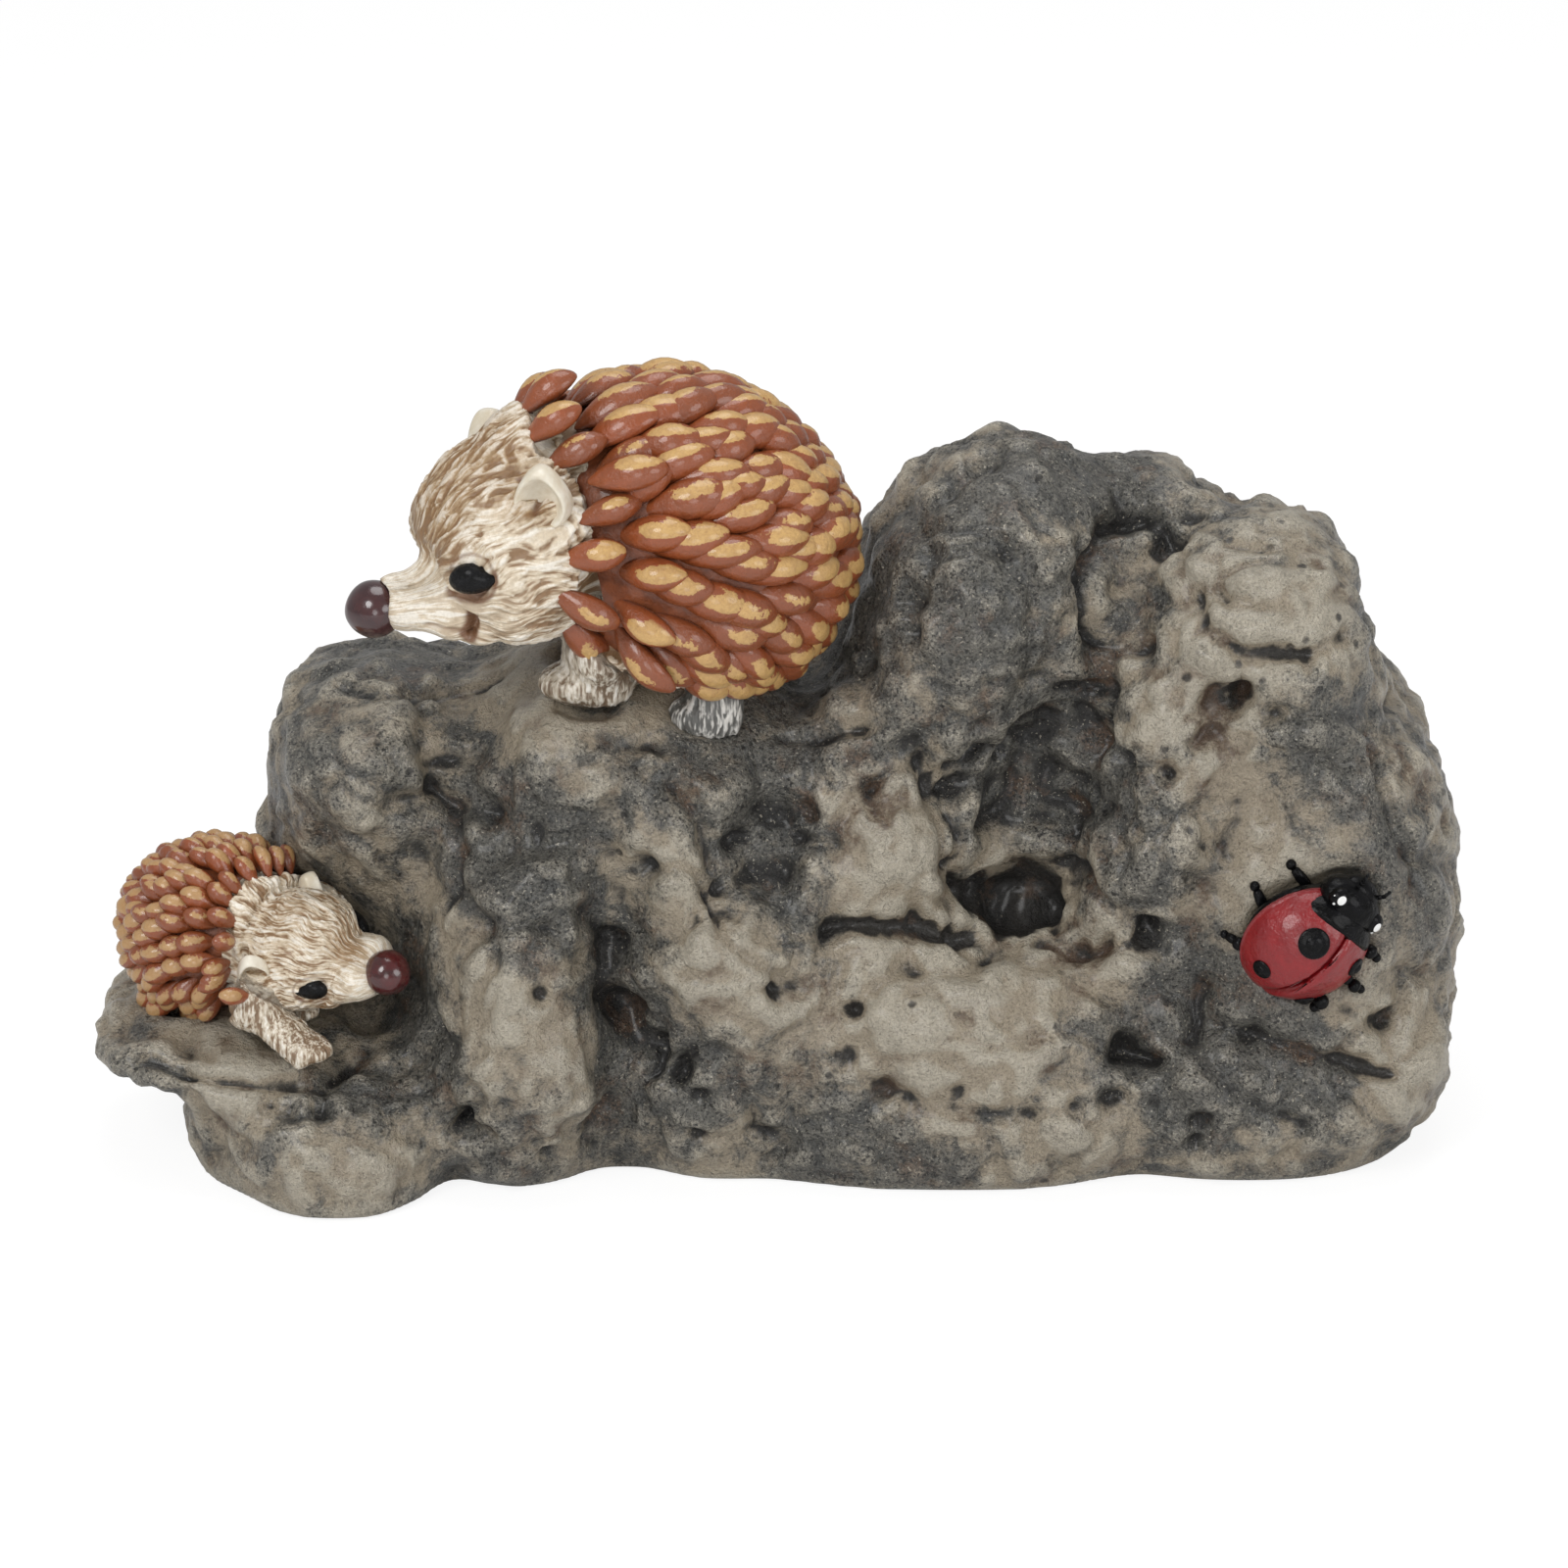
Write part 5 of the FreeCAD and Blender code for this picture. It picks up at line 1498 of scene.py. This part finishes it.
# Legs: where each knee and each foot appears in the photograph, and the leg's radius
LADYBIRD_LEGS_PX = (
    (1336, 904, 1317, 881, 1.25), (1290, 926, 1280, 903, 1.2), (1262, 957, 1249, 952, 1.0),
    (1396, 965, 1404, 976, 1.1), (1346, 1016, 1341, 1026, 1.2), (1380, 1000, 1388, 1008, 1.0),
)
EYE_DOTS = ((0.30, 0.35, 1.0, 0.60), (-0.62, 0.55, 0.75, 0.22), (0.05, 1.0, 0.40, 0.22))
EYE_DOT_STAND = 1.42
KNEE_RISE = 1.3
LADYBIRD_EYES = ((1, (9.2, 3.9, 3.6)), (-1, (9.2, -2.9, 3.6)))
# Balls that make up the plain pieces: place, radii and steps around and along
UNDERSIDE_BALLS = (((0, 0, -0.6), (8.7, 8.2, 3.0), 32, 12),)
COLLAR_BALLS = (((6.7, 0, 1.6), (3.2, 7.2, 4.8), 32, 20),)
FACE_BALLS = (
    ((8.8, 0.6, 1.6), (3.2, 5.4, 3.9), 32, 20),
    ((11.0, 0.4, 1.0), (1.9, 3.2, 2.3), 20, 12),
    *((centre, (1.7, 1.7, 1.4), 20, 12) for _, centre in LADYBIRD_EYES),
)


def balls(rows):
    bm = bmesh.new()
    for place, radii, around, along in rows:
        add_blob(bm, blob_matrix(Vector(place), radii), around, along)
    return bm


def ladybird(ground):
    red, black, white = (
        gloss_finish(name) for name in ("ladybird_red", "ladybird_black_gloss", "ladybird_white")
    )
    heading = Heading(
        "ladybird_body", "ladybird_head", "ladybird_wing_case_left", "ladybird_wing_case_right",
        roll=LADYBIRD_ROLL,
    )
    base = middle("ladybird_body") + Vector(LADYBIRD_SHIFT)
    for side in ("left", "right"):
        wing_case(heading, base, side, red)

    def kept(bm, name, node, slot="ladybird_black", material=black, placed=True):
        if placed:
            bmesh.ops.transform(bm, matrix=heading.matrix(base), verts=bm.verts)
        finished(softened(new_piece(bm, name)), slot, material, node)

    bm = bmesh.new()
    for x, y, radius in LADYBIRD_SPOTS:
        top = Vector((x, y, dome_point(x, y)))
        out = Vector((x / CASE_LENGTH ** 2, y / CASE_WIDTH ** 2, top.z / (2 * CASE_HEIGHT) ** 2))
        add_blob(bm, blob_matrix(top, (radius, radius, 0.5), out), 24, 12)
        inner = (radius * 0.6, radius * 0.6, 0.55)
        add_blob(bm, blob_matrix(top + out.normalized() * 0.2, inner, out))
    kept(bm, "ladybird_spot_paint", "ladybird_spots")
    kept(balls(UNDERSIDE_BALLS), "ladybird_underside", "ladybird_body")

    bm = balls(COLLAR_BALLS)
    for vert in bm.verts:
        vert.co.x -= 0.05 * vert.co.y ** 2
        vert.co.z += 0.35 * math.exp(-((vert.co.x - 6.6) / 0.5) ** 2)
    kept(bm, "ladybird_collar", "ladybird_pronotum")
    kept(balls(FACE_BALLS), "ladybird_face", "ladybird_head")

    bm = bmesh.new()
    for side, centre in LADYBIRD_EYES:
        for forward, left, rise, radius in EYE_DOTS:
            out = Vector((forward, side * left, rise)).normalized()
            dot = Vector(centre) + out * EYE_DOT_STAND
            add_blob(bm, blob_matrix(dot, (radius * 1.25, radius, 0.2), out))
    kept(bm, "ladybird_eye_dots", "ladybird_eyes", "eye_white", white)

    bm = bmesh.new()
    for knee_x, knee_y, foot_x, foot_y, radius in LADYBIRD_LEGS_PX:
        knee, _ = struck(ground, knee_x, knee_y)
        foot, _ = struck(ground, foot_x, foot_y)
        hip = knee.lerp(base, 0.5)
        knee = knee + heading.up * KNEE_RISE
        limb(bm, hip + heading.up, knee, radius * 1.1, radius)
        limb(bm, knee - heading.up * 0.3, foot + heading.up * 0.3, radius * 0.85, radius * 0.65)
    bmesh.ops.scale(bm, vec=(MM, MM, MM), verts=bm.verts)
    kept(bm, "ladybird_limbs", "ladybird_legs", placed=False)

    bm = bmesh.new()
    for side in (1, -1):
        root = Vector((11.9, side * 1.8 + 0.4, 2.0))
        bend = root + Vector((1.0, side * 0.4, 0.4))
        limb(bm, root, bend, 0.45, 0.36)
        limb(bm, bend, bend + Vector((0.9, side * 0.2, -0.2)), 0.36, 0.28)
    kept(bm, "ladybird_feelers", "ladybird_antennae")


# Stage, light and camera

FLOOR_SIZE = 6000.0
FLOOR_DROP = 0.1
LIGHTS = (
    ("key", (-420, -640, 620), 420, 3.4),
    ("fill", (620, -520, 300), 420, 1.5),
    ("top", (60, 120, 760), 500, 1.9),
    ("front", (0, -760, 160), 300, 0.7),
)
WORLD_LIGHT = 0.42
WHITE = (1, 1, 1, 1)
PAPER_GREY = (0.8, 0.8, 0.8, 1)
PAPER_SHADE = (0.22, 0.22, 0.22, 1)
PAPER_GLOW = 0.86


def white_to_camera(tree, lit, white, output):
    """Camera and transmission rays see white; the rest see what lights the part."""
    path = tree.nodes.new("ShaderNodeLightPath")
    seen = tree.nodes.new("ShaderNodeMath")
    seen.operation = "MAXIMUM"
    tree.links.new(path.outputs["Is Camera Ray"], seen.inputs[0])
    tree.links.new(path.outputs["Is Transmission Ray"], seen.inputs[1])
    mixed = tree.nodes.new("ShaderNodeMixShader")
    tree.links.new(seen.outputs[0], mixed.inputs[0])
    tree.links.new(lit.outputs[0], mixed.inputs[1])
    tree.links.new(white.outputs[0], mixed.inputs[2])
    tree.links.new(mixed.outputs[0], output.inputs["Surface"])


def stage():
    bm = bmesh.new()
    lift = Matrix.Translation((0, 0, -FLOOR_DROP * MM))
    bmesh.ops.create_grid(bm, x_segments=1, y_segments=1, size=FLOOR_SIZE * MM / 2, matrix=lift)
    floor = new_piece(bm, "floor")
    paper = bpy.data.materials.new("white_paper")
    paper.use_nodes = True
    tree = paper.node_tree
    lit = tree.nodes["Principled BSDF"]
    lit.inputs["Base Color"].default_value = PAPER_GREY
    lit.inputs["Roughness"].default_value = 0.9
    glow = tree.nodes.new("ShaderNodeEmission")
    glow.inputs["Strength"].default_value = PAPER_GLOW
    dull = tree.nodes.new("ShaderNodeBsdfDiffuse")
    dull.inputs["Color"].default_value = PAPER_SHADE
    both = tree.nodes.new("ShaderNodeAddShader")
    tree.links.new(glow.outputs[0], both.inputs[0])
    tree.links.new(dull.outputs[0], both.inputs[1])
    white_to_camera(tree, lit, both, tree.nodes["Material Output"])
    floor.data.materials.append(paper)
    floor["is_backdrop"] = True

    world = bpy.data.worlds.new("studio")
    bpy.context.scene.world = world
    world.use_nodes = True
    tree = world.node_tree
    soft = tree.nodes["Background"]
    soft.inputs["Color"].default_value = WHITE
    soft.inputs["Strength"].default_value = WORLD_LIGHT
    white = tree.nodes.new("ShaderNodeBackground")
    white.inputs["Color"].default_value = WHITE
    white_to_camera(tree, soft, white, tree.nodes["World Output"])

    target = Vector((0, 0, CAMERA_TARGET_HEIGHT * MM))
    for name, place, size, power in LIGHTS:
        lamp = bpy.data.lights.new(name, "AREA")
        lamp.shape = "DISK"
        lamp.size = size * MM
        lamp.energy = power
        holder = bpy.data.objects.new(name, lamp)
        holder.location = Vector(place) * MM
        holder.rotation_euler = (target - holder.location).to_track_quat("-Z", "Y").to_euler()
        bpy.context.scene.collection.objects.link(holder)


def camera():
    place, ahead, _ = camera_axes()
    lens = bpy.data.cameras.new("camera")
    lens.sensor_width = SENSOR_WIDTH
    lens.lens = SENSOR_WIDTH * CAMERA_DISTANCE * PX_PER_MM / PHOTO_SIZE_PX
    lens.clip_start = 0.01
    holder = bpy.data.objects.new("camera", lens)
    holder.location = place * MM
    holder.rotation_euler = ahead.to_track_quat("-Z", "Y").to_euler()
    bpy.context.scene.collection.objects.link(holder)
    bpy.context.scene.camera = holder
    bpy.context.scene.view_settings.view_transform = "Standard"


camera()
stage()
rock_surface = rock_casting()
hedgehogs(rock_surface)
ladybird(rock_surface)

boxes = {"cad": cad_box, "visual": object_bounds()}
{name: [list(corner) for corner in box] for name, box in boxes.items()}
